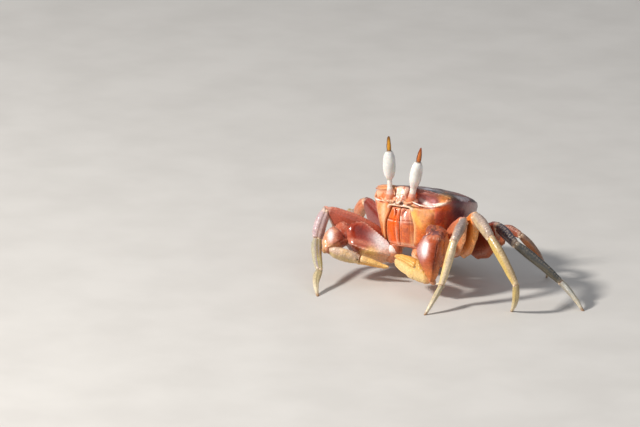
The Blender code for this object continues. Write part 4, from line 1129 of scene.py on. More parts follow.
HAND = {
    "L": {"palm": 0.37, "gape": 0.14,
          "low": ((0, -.18), (.12, -.30), (.32, -.36), (.55, -.36), (.78, -.35), (.93, -.27), (1, -.18)),
          "top": ((0, .44), (.15, .50), (.40, .48), (.70, .41), (.92, .30), (1, .22)),
          "slim": ((0, 1), (1, 1))},
    "R": {"palm": 0.50, "gape": -0.06,
          "low": ((0, -.20), (.12, -.40), (.32, -.49), (.55, -.50), (.78, -.44), (.93, -.32), (1, -.24)),
          "top": ((0, .44), (.15, .50), (.40, .45), (.70, .28), (.92, .08), (1, .00)),
          "slim": ((0, 1), (.20, 1), (.36, .84), (.52, .60), (.66, .50), (1, .46))},
}
PALM_TOP = ((0, .22), (.20, .38), (.56, .49), (.88, .50), (1, .46))


def hand_margins(s, t):
    """Lower margin, palm's upper margin and finger line along the hand, as shares of its height."""
    h = HAND[s]
    t = np.asarray(t, float)
    line = h["gape"] - 0.012 - 0.03 * np.clip((t - h["palm"]) / (1 - h["palm"]), 0, 1)
    return keyed(h["low"], t), keyed(PALM_TOP, np.clip(t / h["palm"], 0, 1)), line


def hand_piece(s):
    w, a, up, out, length = hand_axes(s)
    palm = HAND[s]["palm"]
    _, _, elbow, _, tip = arm_joints(s)
    A = 112
    t = np.concatenate([np.linspace(0, palm, 84), palm + np.linspace(0.0015, 0.020, 12), np.linspace(palm + 0.026, 1.0, 90)])
    R = len(t)
    slim = keyed(HAND[s]["slim"], t)
    H, T = CLAWS[s]["height"] * slim, CLAWS[s]["thick"] * (0.35 + 0.65 * slim)
    low, high, line = hand_margins(s, t)
    # the step from palm to fixed finger is rounded under the hinge
    drop = step(palm, palm + 0.018, t)
    high = high * (1 - drop) + line * drop
    mid, half = (low + high) / 2 * H, (high - low) / 2 * H
    thick = keyed(((0, .38), (.12, .80), (.35, 1.0), (.50, .90), (.62, .62), (.85, .42), (1, .26)), t) * T / 2
    th = 2 * math.pi * np.arange(A) / A
    C, S = np.cos(th)[None], np.sin(th)[None]
    c2, s2 = np.sign(C) * np.abs(C) ** 0.85, np.sign(S) * np.abs(S) ** 0.92
    end_t = np.sqrt(np.clip(1 - np.clip((t - 0.940) / 0.0602, 0, 1) ** 2, 0.03, 1))
    start_t = rounded(t, 0.05, 1e-6, 0.80)
    a_len = half[:, None] * c2 * (end_t * start_t)[:, None]
    b_len = np.where(S > 0, thick[:, None], 0.85 * thick[:, None]) * s2 * (end_t * start_t)[:, None]
    centres = w + a * (length * t)[:, None] + up * mid[:, None]
    one = np.ones((R, 1))
    p, m = joint_plane(elbow, w, tip)
    P = tube_points(centres, (one * a, one * up, one * out), a_len, b_len, (p + m * GAP * 0.35, -m))
    N = grid_normals(P)
    flat = P.reshape(-1, 3)
    tt = np.broadcast_to(t[:, None], (R, A))
    CC, SS = np.broadcast_to(C, (R, A)), np.broadcast_to(S, (R, A))
    seed = 25.0 if s == "L" else 29.0
    big = beads(flat, 0.034, 0.34, 0.6, seed).reshape(R, A)
    fine = beads(flat, 0.018 if s == "L" else 0.0145, 0.38, 0.8, seed + 4).reshape(R, A)
    on_finger = step(palm + 0.02, palm + 0.10, tt)
    upper_palm = step(0.2, 0.75, CC) * (1 - on_finger)
    amount = 0.0034 if s == "L" else 0.0018
    relief = (amount * big * (0.35 + 0.75 * upper_palm) + 0.0020 * fine * (1 + 0.6 * upper_palm)) * (1 - 0.75 * on_finger) * step(0.0, 0.05, tt)
    # two keels along the fixed finger and its row of small teeth
    keel = (bell(CC, -0.55, 0.07) + bell(CC, -0.05, 0.07)) * on_finger * step(1.0, 0.9, tt)
    lower_keel = bell(CC, -0.97, 0.05) * step(0.10, 0.25, tt)
    relief = relief + 0.0040 * keel + 0.0030 * lower_keel * np.maximum(0, np.cos(2 * math.pi * tt * length / 0.026)) ** 0.7
    teeth = bell(CC, 1.0, 0.05) * on_finger * np.maximum(0, np.cos(2 * math.pi * tt * length / 0.027)) ** 0.8 * step(1.0, 0.93, tt)
    relief = relief + 0.0038 * teeth
    hinge = bell(tt, palm - 0.015, 0.022) * bell(CC, 0.62, 0.14) * (np.abs(SS) > 0)
    relief = relief - 0.010 * hinge + 0.007 * bell(tt, palm - 0.055, 0.020) * bell(CC, 0.62, 0.16)
    relief = relief + 0.0020 * (fbm(flat, 12, 3, seed).reshape(R, A) - 0.5)
    P = P + N * relief[..., None]
    patches = fbm(flat, 9, 4, seed + 3).reshape(R, A)
    if s == "L":
        col = np.broadcast_to(srgb(222, 186, 124), (R, A, 3))
        col = mix(col, srgb(236, 202, 138), step(0.42, 0.60, patches) * 0.7)
        col = mix(col, srgb(214, 150, 82), step(-0.55, -0.95, CC) * 0.75)
        col = mix(col, srgb(212, 138, 74), step(0.14, 0.02, tt) * 0.8)
        col = mix(col, srgb(226, 176, 84), step(0.10, 0.55, CC) * (1 - on_finger) * 0.6)
    else:
        col = np.broadcast_to(srgb(218, 188, 132), (R, A, 3))
        col = mix(col, srgb(196, 162, 160), upper_palm * 0.60)
        col = mix(col, srgb(236, 196, 132), step(0.42, 0.60, patches) * 0.6)
        col = mix(col, srgb(250, 184, 96), on_finger * 0.9)
    col = mix(col, srgb(64, 40, 30), hinge * 0.9)
    col = mix(col, srgb(240, 214, 150), teeth * 0.7)
    col = mix(col, srgb(246, 236, 224), np.clip((big if s == "L" else fine) * (0.35 + 0.75 * upper_palm) * (1 - on_finger), 0, 1) ** 1.4 * (0.60 if s == "L" else 0.42))
    col = mix(col, srgb(238, 206, 150), step(0.90, 1.0, tt) * 0.5)
    col = col * (0.91 + 0.18 * noise(flat, 60, seed).reshape(R, A))[..., None]
    shape = Shape().tube(P, col)
    side_axis = unit(out - m * (out @ m))
    up_axis = np.cross(side_axis, m)
    skin = ball(p, (m * 0.034, up_axis * 0.26 * H[0], side_axis * 0.24 * T[0]), 16, 28)
    shape.tube(skin, mix(srgb(214, 150, 112), srgb(160, 96, 66), noise(skin, 30, seed)))
    return shape


def finger_piece(s):
    w, a, up, out, length = hand_axes(s)
    R, A = 130, 80
    t = spaced(R, 0.25)
    first = HAND[s]["palm"] + 0.012 + GAP * 0.6 / length
    at = first + (1.0 - first) * t
    slim = keyed(HAND[s]["slim"], at)
    H, T = CLAWS[s]["height"] * slim, CLAWS[s]["thick"] * (0.35 + 0.65 * slim)
    low = (hand_margins(s, at)[2] + 0.014) * H + GAP * 0.25
    high = keyed(HAND[s]["top"], t) * H
    half = np.maximum((high - low) / 2, 0.014)
    mid = low + half
    thick = keyed(((0, .70), (.30, .64), (.70, .44), (1, .24)), t) * T / 2
    th = 2 * math.pi * np.arange(A) / A
    C, S = np.cos(th)[None], np.sin(th)[None]
    c2, s2 = np.sign(C) * np.abs(C) ** 0.85, np.sign(S) * np.abs(S) ** 0.92
    ends = rounded(t, 0.07, 0.05, 0.55)[:, None]
    a_len = half[:, None] * c2 * ends
    b_len = np.where(S > 0, thick[:, None], 0.85 * thick[:, None]) * s2 * ends
    centres = w + a * (length * at)[:, None] + up * mid[:, None]
    one = np.ones((R, 1))
    P = tube_points(centres, (one * a, one * up, one * out), a_len, b_len)
    N = grid_normals(P)
    flat = P.reshape(-1, 3)
    tt = np.broadcast_to(t[:, None], (R, A))
    CC = np.broadcast_to(C, (R, A))
    seed = 35.0 if s == "L" else 39.0
    fine = beads(flat, 0.017, 0.38, 0.6, seed).reshape(R, A)
    keel = bell(CC, 0.62, 0.06) + bell(CC, 0.10, 0.07)
    groove = bell(CC, 0.36, 0.08)
    teeth = bell(CC, -1.0, 0.05) * np.maximum(0, np.cos(2 * math.pi * tt * length * (1 - first) / 0.027 + 2.6)) ** 0.8 * step(1.0, 0.93, tt)
    top_row = bell(CC, 0.98, 0.04) * np.maximum(0, np.cos(2 * math.pi * tt * length * (1 - first) / 0.030)) ** 0.7 * step(0.75, 0.55, tt)
    body = step(0.0, 0.08, tt) * step(1.0, 0.9, tt)
    relief = body * (0.0045 * keel - 0.0050 * groove + 0.0022 * fine * step(0.8, 0.2, tt) + 0.0012 * top_row * (0.4 + 1.2 * noise(flat, 20, seed).reshape(R, A))) + 0.0034 * teeth
    relief = relief + 0.0018 * (fbm(flat, 12, 3, seed).reshape(R, A) - 0.5)
    P = P + N * relief[..., None]
    patches = fbm(flat, 9, 4, seed + 3).reshape(R, A)
    if s == "L":
        col = np.broadcast_to(srgb(226, 180, 96), (R, A, 3))
        col = mix(col, srgb(232, 160, 66), step(0.45, 0.62, patches) * 0.6)
        col = mix(col, srgb(206, 130, 52), groove * 0.5)
    else:
        col = np.broadcast_to(srgb(255, 206, 124), (R, A, 3))
        col = mix(col, srgb(236, 196, 150), step(0.35, 0.05, tt) * 0.7)
    col = mix(col, srgb(246, 226, 176), np.clip(keel, 0, 1) * 0.35 + teeth * 0.4)
    col = mix(col, srgb(242, 214, 164), step(0.86, 1.0, tt) * 0.5)
    col = mix(col, srgb(96, 56, 36), bell(tt, 0.0, 0.02) * 0.5)
    col = col * (0.91 + 0.18 * noise(flat, 60, seed).reshape(R, A))[..., None]
    shape = Shape().tube(P, col)
    knob = ball(w + a * length * (first - 0.004) + up * (low[0] + 1.15 * half[0]), (a * 0.020, up * half[0] * 0.62, out * thick[0] * 0.80), 14, 24)
    shape.tube(knob, srgb(190, 120, 70))
    return shape


# ---------------------------------------------------------------- mouth plates
def mouth_piece(side):
    """Third maxilliped: two plates with a seam between them, raised inner rim, a furrow, and the folded palp."""
    rows, cols = 150, 72
    z = np.linspace(0.018, 0.388, rows)[:, None]
    u = np.linspace(0, 1, cols)[None, :]
    half = mouth_half(z)
    x = 0.0045 + (half - 0.006) * u
    top = np.sin(math.pi * np.clip((z - 0.018) / 0.370, 0, 1)) ** 0.35
    round_u = (np.sin(math.pi * np.clip(u * 0.96 + 0.02, 0, 1))) ** 0.40
    crown = 0.016 * np.sin(math.pi * u) * np.sin(math.pi * np.clip(z / 0.41, 0, 1))
    suture = 0.256 + 0.012 * u
    d_s = z - suture
    rim_in = bell(u, 0.105, 0.050)
    rim_out = bell(u, 0.90, 0.035)
    furrow = bell(u, 0.235, 0.040) * step(0.03, 0.08, z) * step(0.375, 0.34, z)
    relief = 0.0065 * rim_in + 0.0030 * rim_out - 0.0030 * furrow - 0.0100 * bell(d_s, 0, 0.0050) + 0.0030 * bell(d_s, -0.014, 0.007)
    relief = relief - 0.0035 * bell(u, 0.84, 0.025) * step(0.03, 0.08, z)
    p0 = np.stack([np.broadcast_to(x, (rows, cols)), np.zeros((rows, cols)), np.broadcast_to(z, (rows, cols))], -1)
    grain = beads(p0, 0.016, 0.40, 0.55, 2.0 + side) * 0.0018 + 0.0020 * (fbm(p0, 14, 3, 4.0) - 0.5)
    front_y = face(x, z) + 0.004 + crown + relief + grain
    depth = 0.034
    y = -(face(x, z) - depth + (front_y - face(x, z) + depth) * (round_u * top))
    P = np.stack([side * np.broadcast_to(x, y.shape), y, np.broadcast_to(z, y.shape)], -1)
    back = P.copy()
    back[..., 1] = -(np.broadcast_to(face(x, z), y.shape) - depth - 0.004)
    patches = fbm(p0, 10, 4, 6.0)
    U, Z = np.broadcast_to(u, y.shape), np.broadcast_to(z, y.shape)
    if side > 0:
        col = np.broadcast_to(srgb(220, 140, 116), (rows, cols, 3))
        col = mix(col, srgb(216, 112, 56), step(0.30, 0.20, Z + 0.10 * (patches - 0.5)) * 0.9)
        col = mix(col, srgb(186, 80, 54), step(0.46, 0.58, fbm(p0, 20, 3, 2.0)) * 0.55)
        # partly painted highlight: the raised inner rim of the right plate turns near white over its pale shell
        col = mix(col, srgb(255, 222, 206), rim_in * 0.9 * step(0.16, 0.26, Z))
        col = mix(col, srgb(232, 176, 120), step(0.72, 0.92, U) * 0.7)
    else:
        col = np.broadcast_to(srgb(214, 104, 58), (rows, cols, 3))
        col = mix(col, srgb(238, 98, 18), bell(U, 0.34, 0.30) * 0.95)
        col = mix(col, srgb(214, 140, 84), step(0.70, 0.95, U) * 0.8)
        # partly painted highlight: the left plate's raised inner rim is paler
        col = mix(col, srgb(246, 200, 176), rim_in * 0.5)
    col = mix(col, srgb(244, 196, 170), bell(d_s, -0.014, 0.007) * 0.6)
    col = mix(col, srgb(120, 46, 34), bell(d_s, 0, 0.005) * 0.6 + 0.4 * furrow)
    col = mix(col, srgb(236, 190, 150), step(0.345, 0.385, Z) * 0.7)
    col = mix(col, CREAM, step(0.88, 1.0, U) * 0.4 + step(0.06, 0.02, Z) * 0.5)
    shape = Shape()
    n = rows * cols
    W, flat_n = to_world(P), np.broadcast_to(VIEW_BACK, P.shape)
    if side > 0:
        col = mix(col, srgb(226, 158, 138), spot(W, flat_n, 404.5, 215, 5.5, 6.5, -14) * 0.7)
        col = mix(col, srgb(206, 110, 62), spot(W, flat_n, 410, 229, 7.5, 6.0, 0, 0.8) * 0.8)
        col = mix(col, srgb(150, 70, 60), spot(W, flat_n, 408, 227, 7.0, 6.0) * step(0.55, 0.68, fbm(p0, 34, 2, 7.0)) * 0.6)
        # partly painted highlight: a thin near-white line along the inner edge of the right plate
        col = mix(col, srgb(255, 226, 210), spot(W, flat_n, 399.6, 214, 0.9, 8.5, -6) * 0.8)
    else:
        col = mix(col, srgb(246, 104, 16), spot(W, flat_n, 394.5, 218, 3.4, 10, -3, 0.4) * 0.9)
    pts = np.concatenate([P.reshape(-1, 3), back.reshape(-1, 3)])
    front_q = grid_faces(rows, cols, wrap=False)
    back_q = front_q[:, ::-1] + n
    edge = [(0, c) for c in range(cols)] + [(r, cols - 1) for r in range(1, rows)] + \
           [(rows - 1, c) for c in range(cols - 2, -1, -1)] + [(r, 0) for r in range(rows - 2, 0, -1)]
    e = np.array([r * cols + c for r, c in edge])
    side_q = np.stack([e, np.roll(e, -1), np.roll(e, -1) + n, e + n], -1)
    if side > 0:
        front_q, back_q = front_q[:, ::-1], back_q[:, ::-1]
    else:
        side_q = side_q[:, ::-1]
    # painted shade: the back and sides of each plate take the front colours darkened to 0.6
    shape.put(to_world(pts), np.concatenate([front_q, back_q, side_q]), None, np.concatenate([col.reshape(-1, 3), col.reshape(-1, 3) * 0.6]))
    # palp: three small joints folded down from the inner top corner
    path = [(0.066, 0.380, 0.008, 0.011), (0.050, 0.356, 0.013, 0.010), (0.043, 0.330, 0.014, 0.008), (0.041, 0.308, 0.013, 0.006)]
    for (x1, z1, o1, r1), (x2, z2, o2, r2) in zip(path[:-1], path[1:]):
        p1 = to_world((side * x1, -(face(x1, z1) + o1), z1))
        p2 = to_world((side * x2, -(face(x2, z2) + o2), z2))
        d = unit(p2 - p1)
        across = unit(np.cross(d, (0.3, -1.0, 0.2)))
        third = np.cross(d, across)
        b = ball((p1 + p2) / 2, (d * np.linalg.norm(p2 - p1) * 0.70, across * (r1 + r2) / 2, third * (r1 + r2) / 2 * 0.7), 20, 24)
        shape.tube(b, mix(srgb(214, 112, 78), srgb(236, 160, 128), fbm(b, 30, 2, 1.0)))
    return shape


# ---------------------------------------------------------------- eyes
def eye_axis(s):
    side = 1 if s == "L" else -1
    lean = math.radians(EYES[s][0])
    return unit(np.array((side * math.sin(lean), -0.02, math.cos(lean))))


def turned(profile, foot, axis, around, rows):
    """Rings swept from (height, radius) keys."""
    axis = unit(axis)
    side = unit(np.cross(axis, (0, -1.0, 0.0)))
    fwd = np.cross(side, axis)
    hs, rs = zip(*profile)
    u = np.linspace(0, 1, rows)
    h = np.interp(u, np.linspace(0, 1, len(hs)), hs)
    r = np.interp(u, np.linspace(0, 1, len(rs)), rs)
    for _ in range(6):
        r[1:-1] = (r[:-2] + 2 * r[1:-1] + r[2:]) / 4
    th = 2 * math.pi * np.arange(around) / around
    P = foot + axis * h[:, None, None] + r[:, None, None] * (side * np.cos(th)[None, :, None] + fwd * np.sin(th)[None, :, None])
    return P, h, th, side, fwd


def eye_pieces(s):
    side = 1 if s == "L" else -1
    lean, base, top, tip = EYES[s]
    foot = to_world((side * EYE_FOOT[0], EYE_FOOT[1], EYE_FOOT[2]))
    axis = eye_axis(s)
    # stalk: pinkish foot, pale narrow neck, a cup under the cornea
    P, h, th, sd, fw = turned([(-.105, .038), (-.075, .041), (-.045, .040), (-.016, .035), (base * .30, .0320 if s == "L" else .0255), (base * .6, .0320 if s == "L" else .0235), (base * .9, .0335 if s == "L" else .0235), (base + .016, .0350 if s == "L" else .0245)], foot, axis, 48, 60)
    n = fbm(P, 24, 3, 2.0)
    N = grid_normals(P)
    P = P + N * (0.0022 * (n - 0.5) - 0.0008 * np.maximum(0, np.cos(2 * math.pi * h / 0.020))[:, None] * step(0.02, -0.01, h)[:, None])[..., None]
    hh = np.broadcast_to(h[:, None], n.shape)
    col = mix(np.broadcast_to(srgb(236, 228, 220), n.shape + (3,)), srgb(222, 156, 134), step(0.30, -0.15, hh / base) * (0.9 if s == "L" else 0.6))
    col = mix(col, srgb(224, 140, 96), step(-0.020, -0.050, hh) * 0.85)
    col = mix(col, srgb(206, 120, 92), step(0.5, 0.62, n) * 0.4 * step(0.3, -0.1, hh / base))
    stalk = Shape().tube(P, col)
    base_lump = ball(foot - axis * 0.078 + np.array((side * 0.004, 0.020, 0.0)), (axis * 0.030, sd * 0.060, fw * 0.040), 22, 36)
    stalk.tube(base_lump, mix(srgb(216, 130, 98), srgb(240, 190, 160), fbm(base_lump, 20, 3, 5.0)))
    # cornea: a tall oval, fuller in front, notched behind by the stalk's strip
    mid, half = (base + top) / 2, (top - base) / 2 * 1.02
    rows, around = 110, 84
    phi = np.linspace(0.02, math.pi - 0.02, rows)
    h = mid - half * np.cos(phi)
    u = (h - base) / (top - base)
    neck = 0.60 if s == "L" else 0.40
    keys = ((-0.01, neck * .90), (.02, neck), (.07, neck + (.08 if s == "L" else .20)), (.16, .80), (.28, .94), (.45, 1.0), (.65, .98), (.80, .87), (.91, .66), (.97, .42), (1.01, .10))
    r = EYE_R * np.interp(u, *zip(*keys)) * (0.98 if s == "L" else 1.0)
    for _ in range(6):
        r[1:-1] = (r[:-2] + 2 * r[1:-1] + r[2:]) / 4
    th = 2 * math.pi * np.arange(around) / around
    strip = bell(np.angle(np.exp(1j * (th + math.pi / 2))), 0, 0.40)   # behind
    R = r[:, None] * (1 - 0.13 * strip[None, :] + 0.045 * np.clip(np.sin(th), 0, 1)[None, :] ** 2)
    P = foot + axis * h[:, None, None] + R[..., None] * (sd * np.cos(th)[None, :, None] + fw * np.sin(th)[None, :, None])
    q = P.reshape(-1, 3)
    tt = np.broadcast_to(((h - base) / (top - base))[:, None], R.shape)
    n = fbm(q, 14, 4, 8.0).reshape(R.shape)
    col = mix(np.broadcast_to(srgb(232, 231, 226), R.shape + (3,)), srgb(206, 204, 200), step(0.45, 0.70, n) * 0.6)
    col = mix(col, srgb(230, 220, 212), step(0.22, 0.02, tt) * 0.7)
    col = mix(col, srgb(176, 140, 128), np.broadcast_to(step(0.35, 0.8, strip)[None], R.shape) * 0.8)
    col = mix(col, srgb(120, 84, 60), step(0.93, 0.985, tt) * 0.85)
    eye = Shape().tube(P, col)
    # horn
    if s == "L":
        profile = [(top - .022, .016), (top - .002, .0230), (top + .016, .0255), (top + .04, .0250), (tip - .07, .0215), (tip - .045, .0165), (tip - .020, .0100), (tip - .006, .0055), (tip, .0020)]
    else:
        profile = [(top - .022, .016), (top - .002, .0215), (top + .016, .0235), (top + .05, .0225), (tip - .07, .0195), (tip - .045, .0175), (tip - .020, .0145), (tip - .006, .0095), (tip, .0035)]
    P, h, th, _, _ = turned(profile, foot, axis, 40, 70)
    N = grid_normals(P)
    ring = np.maximum(0, np.cos(2 * math.pi * h / 0.012))[:, None] * step(top + 0.05, top, h)[:, None]
    P = P + N * (0.0010 * ring + 0.0016 * np.cos(5 * th)[None, :] * step(top, top + .05, h)[:, None])[..., None]
    hh = np.broadcast_to(((h - top) / (tip - top))[:, None], (len(h), 40))
    n = fbm(P, 30, 3, 3.0)
    # painted light and shade: each stylet is amber (the left one orange) where it faces the viewer and dark brown at
    # its sides
    facing = N @ unit(np.array((0.62, -0.76, 0.10)))
    col = mix(np.broadcast_to(srgb(96, 50, 20), hh.shape + (3,)), srgb(222, 156, 44) if s == "R" else srgb(204, 116, 48), step(0.55, 0.90, facing + 0.25 * (n - 0.5)))
    col = mix(col, srgb(122, 62, 20), step(0.52, 0.70, n) * 0.4)
    col = mix(col, srgb(96, 60, 26) if s == "R" else srgb(150, 62, 34), step(0.55, 0.95, hh) * 0.75)
    col = mix(col, srgb(126, 84, 52), step(0.10, -0.05, hh) * 0.8)
    horn = Shape().tube(P, col)
    return stalk, eye, horn


def antenna_piece(s):
    side = 1 if s == "L" else -1
    t = np.linspace(0, 1, 90)
    path = to_world(np.stack([side * (0.082 + 0.125 * t), -0.497 - 0.045 * np.sin(2.2 * t), 0.440 - 0.020 * t + 0.045 * t * t], -1))
    d = unit(np.gradient(path, axis=0))
    up = unit(np.array((0, 0, 1.0)) - d * d[:, 2:3])
    front = np.cross(up, d)
    joints = 0.5 + 0.5 * np.cos(2 * math.pi * t * (7 + 10 * t))
    r = (0.0105 - 0.0060 * t) * (1 + 0.16 * joints) * np.where(t < 0.25, 1.45 - 0.3 * t / 0.25, 1.0 + 0.15 * np.clip(0.3 - t, 0, 1))
    r = r * np.sqrt(np.clip(1 - ((t - 0.97) / 0.03).clip(0, 1) ** 2, 0.05, 1))
    th = 2 * math.pi * np.arange(20) / 20
    P = path[:, None] + r[:, None, None] * (up[:, None] * np.cos(th)[None, :, None] + front[:, None] * np.sin(th)[None, :, None])
    col = mix(np.broadcast_to(srgb(214, 142, 96), P.shape), srgb(246, 214, 180), np.broadcast_to(joints[:, None], P.shape[:2]) * 0.7)
    return Shape().tube(P, col)


# ---------------------------------------------------------------- belly flap
def belly_points(t):
    """Skin of the underside along the middle line, from under the rear edge to behind the mouth (body frame)."""
    t = np.atleast_1d(t)
    a = np.radians(-4 - 106 * t)
    dirs = np.stack([np.zeros_like(a), np.cos(a), np.sin(a)], -1)
    centre = np.array((0, -0.02, 0.26))
    lo, hi = np.zeros(len(t)), np.full(len(t), 1.0)
    for _ in range(26):
        mid = (lo + hi) / 2
        out = block(centre + dirs * mid[:, None]) > 0
        hi, lo = np.where(out, mid, hi), np.where(out, lo, mid)
    return centre + dirs * lo[:, None]


def abdomen_piece():
    R, A = 150, 64
    t = spaced(R, 0.1)
    c = belly_points(t)
    d = unit(belly_points(np.minimum(t + 0.02, 1)) - belly_points(np.maximum(t - 0.02, 0)))
    out = unit(np.cross(np.array((1.0, 0, 0)), d))
    centre = np.array((0, -0.02, 0.26))
    out = np.where(((c - centre) * out).sum(-1, keepdims=True) > 0, out, -out)
    c = c + out * (GAP * 1.2 + 0.020)
    width = keyed(((0, .17), (.25, .155), (.45, .115), (.75, .085), (.93, .060), (1, .030)), t)
    joints = np.array([0.10, 0.22, 0.34, 0.48, 0.62, 0.80])
    near = np.abs(t[:, None] - joints[None]).min(1)
    groove = bell(near, 0, 0.012)
    th = 2 * math.pi * np.arange(A) / A
    C, S = np.cos(th)[None], np.sin(th)[None]
    shoulders = (rounded(t, 0.05, 0.06, 0.7) * (1 - 0.035 * groove))[:, None]
    a_len = width[:, None] * np.sign(C) * np.abs(C) ** 0.6 * shoulders
    b_len = (0.021 - 0.009 * groove)[:, None] * np.sign(S) * np.abs(S) ** 0.7 * shoulders
    x = np.broadcast_to(np.array((1.0, 0, 0)), (R, 3))
    P = tube_points(c, (d, x, out), a_len, b_len)
    n = fbm(P, 14, 3, 2.0)
    P = P + grid_normals(P) * (0.0018 * (n - 0.5) + 0.0016 * beads(P.reshape(-1, 3), 0.018, 0.4, 0.5, 3.0).reshape(n.shape))[..., None]
    col = mix(np.broadcast_to(srgb(232, 206, 176), n.shape + (3,)), srgb(222, 160, 110), step(0.45, 0.65, n) * 0.6)
    col = mix(col, srgb(190, 108, 70), np.broadcast_to(step(0.30, 0.0, t)[:, None], n.shape) * 0.7)
    col = mix(col, srgb(150, 104, 76), np.broadcast_to(groove[:, None], n.shape) * 0.7)
    return Shape().tube(to_world(P), col)


# ---------------------------------------------------------------- shell of the body
def carapace_piece():
    P, quads, N = nets(carapace_field, (-0.57, -0.60, -0.10), (0.57, 0.47, 0.70), 0.0064, 2)
    x, y, z = P.T
    q = np.abs(x)
    nx, ny, nz = N.T
    left = step(-0.02, 0.02, x)
    M = np.stack([q + 0.02 * noise(P, 3, 1.0), y, z], -1)      # markings are nearly the same on both sides
    n_big, n_mid, n_small = fbm(M, 4.5, 4, 2.0), fbm(M, 11, 4, 5.0), fbm(P, 26, 3, 9.0)
    outer = block(P)
    socket = step(-0.003, -0.012, outer) * step(0.022, 0.008, np.abs(orbit(P))) * step(0.40, 0.44, z)
    recess = step(-0.003, -0.012, outer) * step(0.020, 0.006, np.abs(mouth(P)))
    d_low, d_up, d_lip = rims(P)
    rim_low, rim_up, lip = (bell(np.maximum(d, 0), 0, 0.007) * step(0.03, 0.01, d) for d in (d_low, d_up, d_lip))
    front_lobe = step(0.012, 0.000, lobe(P))
    top = step(0.20, 0.55, nz) * step(0.43, 0.50, z) * (1 - socket) * (1 - front_lobe)
    behind = step(0.25, 0.60, ny) * (1 - top)
    line = np.interp(z, [0.05, 0.10, 0.20, 0.30, 0.40, 0.46], [0.27, 0.290, 0.335, 0.360, 0.372, 0.400])
    cheek = step(0.012, -0.012, q - line) * step(0.0, -0.25, ny) * (1 - top)

    # fine forms
    roof_beads = beads(P, 0.027, 0.40, 0.85, 1.0)
    large_beads = beads(P, 0.046, 0.26, 0.30, 4.0)
    side_beads = beads(P, 0.025, 0.38, 0.60, 8.0)
    calm = (1 - socket) * (1 - recess)
    rough_top = top * (0.45 + 0.55 * step(0.20, 0.42, q) + 0.3 * step(0.05, 0.3, y))
    relief = calm * (rough_top * (0.0030 * roof_beads + 0.0026 * large_beads) + (1 - top) * (1 - 0.6 * cheek) * (1 - front_lobe) * 0.0019 * side_beads)
    relief = relief + calm * 0.0030 * (fbm(P, 9, 4, 3.0) - 0.5) + 0.0016 * (n_small - 0.5)
    relief = relief + 0.0016 * beads(P, 0.020, 0.42, 0.9, 6.0) * np.clip(rim_low + rim_up, 0, 1) * (1 - recess)
    muzzle = step(0.155, 0.120, q) * step(0.392, 0.408, z) * step(0.535, 0.500, z) * step(-0.375, -0.425, y)
    knobs = beads(P, 0.036, 0.42, 0.75, 12.0)
    relief = relief + muzzle * (0.0052 * knobs + 0.0016 * beads(P, 0.018, 0.40, 0.7, 14.0))
    Q = P + N * relief[:, None]

    # roof: purple-grey with pale and dark blotches
    col = mix(srgb(84, 55, 62), srgb(122, 98, 108), step(0.40, 0.62, n_mid))
    col = mix(col, srgb(148, 82, 64), step(0.50, 0.66, fbm(M, 6, 3, 31.0)) * 0.75)
    col = mix(col, srgb(200, 186, 192), step(0.55, 0.66, fbm(M, 9, 4, 21.0)) * 0.85)
    col = mix(col, srgb(44, 27, 30), step(0.55, 0.64, fbm(M, 8, 4, 47.0)) * 0.85)
    col = mix(col, srgb(190, 160, 158), bell(plan_line(P, [(0.105, -0.26), (0.120, -0.10), (0.100, 0.02), (0.118, 0.10), (0.090, 0.20)]), 0, 0.012) * 0.5)
    col = mix(col, srgb(206, 150, 120), step(-0.30, -0.40, y) * 0.35 * step(0.45, 0.6, n_mid))
    fleck = 0.10 * (n_mid - 0.5)
    col = mix(col, srgb(34, 20, 20), bell(q + fleck, 0.375, 0.085) * bell(y + fleck, -0.21, 0.085) * 1.25)
    col = mix(col, srgb(206, 204, 218), bell(q + fleck, 0.185, 0.062) * bell(y + fleck, -0.30, 0.075) * 1.15)
    col = mix(col, srgb(46, 27, 26), bell(q + fleck, 0.285, 0.050) * bell(y + fleck, -0.36, 0.060) * 1.1)
    col = mix(col, srgb(196, 184, 188), bell(q - fleck, 0.42, 0.040) * bell(y + fleck, -0.05, 0.07) * 1.0)
    col = mix(col, srgb(220, 190, 176), np.clip(large_beads + 0.5 * roof_beads, 0, 1) ** 1.5 * 0.26)

    # flank: orange below, red, purple behind and above
    side_col = mix(srgb(186, 84, 64), srgb(210, 112, 86), step(0.42, 0.66, n_big))
    side_col = mix(side_col, srgb(222, 112, 52), step(0.36, 0.17, z + 0.30 * (y + 0.28) + 0.12 * (n_big - 0.5)) * 0.9)
    side_col = mix(side_col, srgb(122, 70, 82), step(-0.22, -0.02, y + 0.10 * (n_mid - 0.5)) * step(0.10, 0.34, z) * 0.85)
    side_col = mix(side_col, srgb(118, 66, 80), step(0.40, 0.50, z + 0.05 * (n_mid - 0.5)) * step(-0.30, -0.16, y) * 0.8)
    side_col = mix(side_col, srgb(86, 50, 60), step(0.52, 0.64, fbm(M, 13, 3, 12.0)) * 0.35)
    side_col = mix(side_col, srgb(222, 156, 124), step(0.60, 0.72, fbm(M, 15, 3, 15.0)) * 0.25)
    streak = bell(z + 0.04 * (n_mid - 0.5), 0.435 + 0.22 * (q - 0.40), 0.026) * step(0.345, 0.385, q) * step(-0.16, -0.26, y)
    side_col = mix(side_col, srgb(226, 118, 62), streak * 0.85)
    side_col = mix(side_col, srgb(206, 168, 160), step(-0.02, 0.10, y) * step(0.38, 0.50, z + 0.10 * (n_mid - 0.5)) * 0.55)
    hind = mix(srgb(126, 84, 88), srgb(196, 120, 84), step(0.34, 0.12, z))
    hind = mix(hind, srgb(206, 182, 170), step(0.52, 0.64, fbm(M, 10, 4, 61.0)) * 0.5)
    side_col = mix(side_col, hind, behind)
    side_col = mix(side_col, srgb(236, 190, 156), side_beads ** 2 * 0.10)
    col = mix(side_col, col, top)

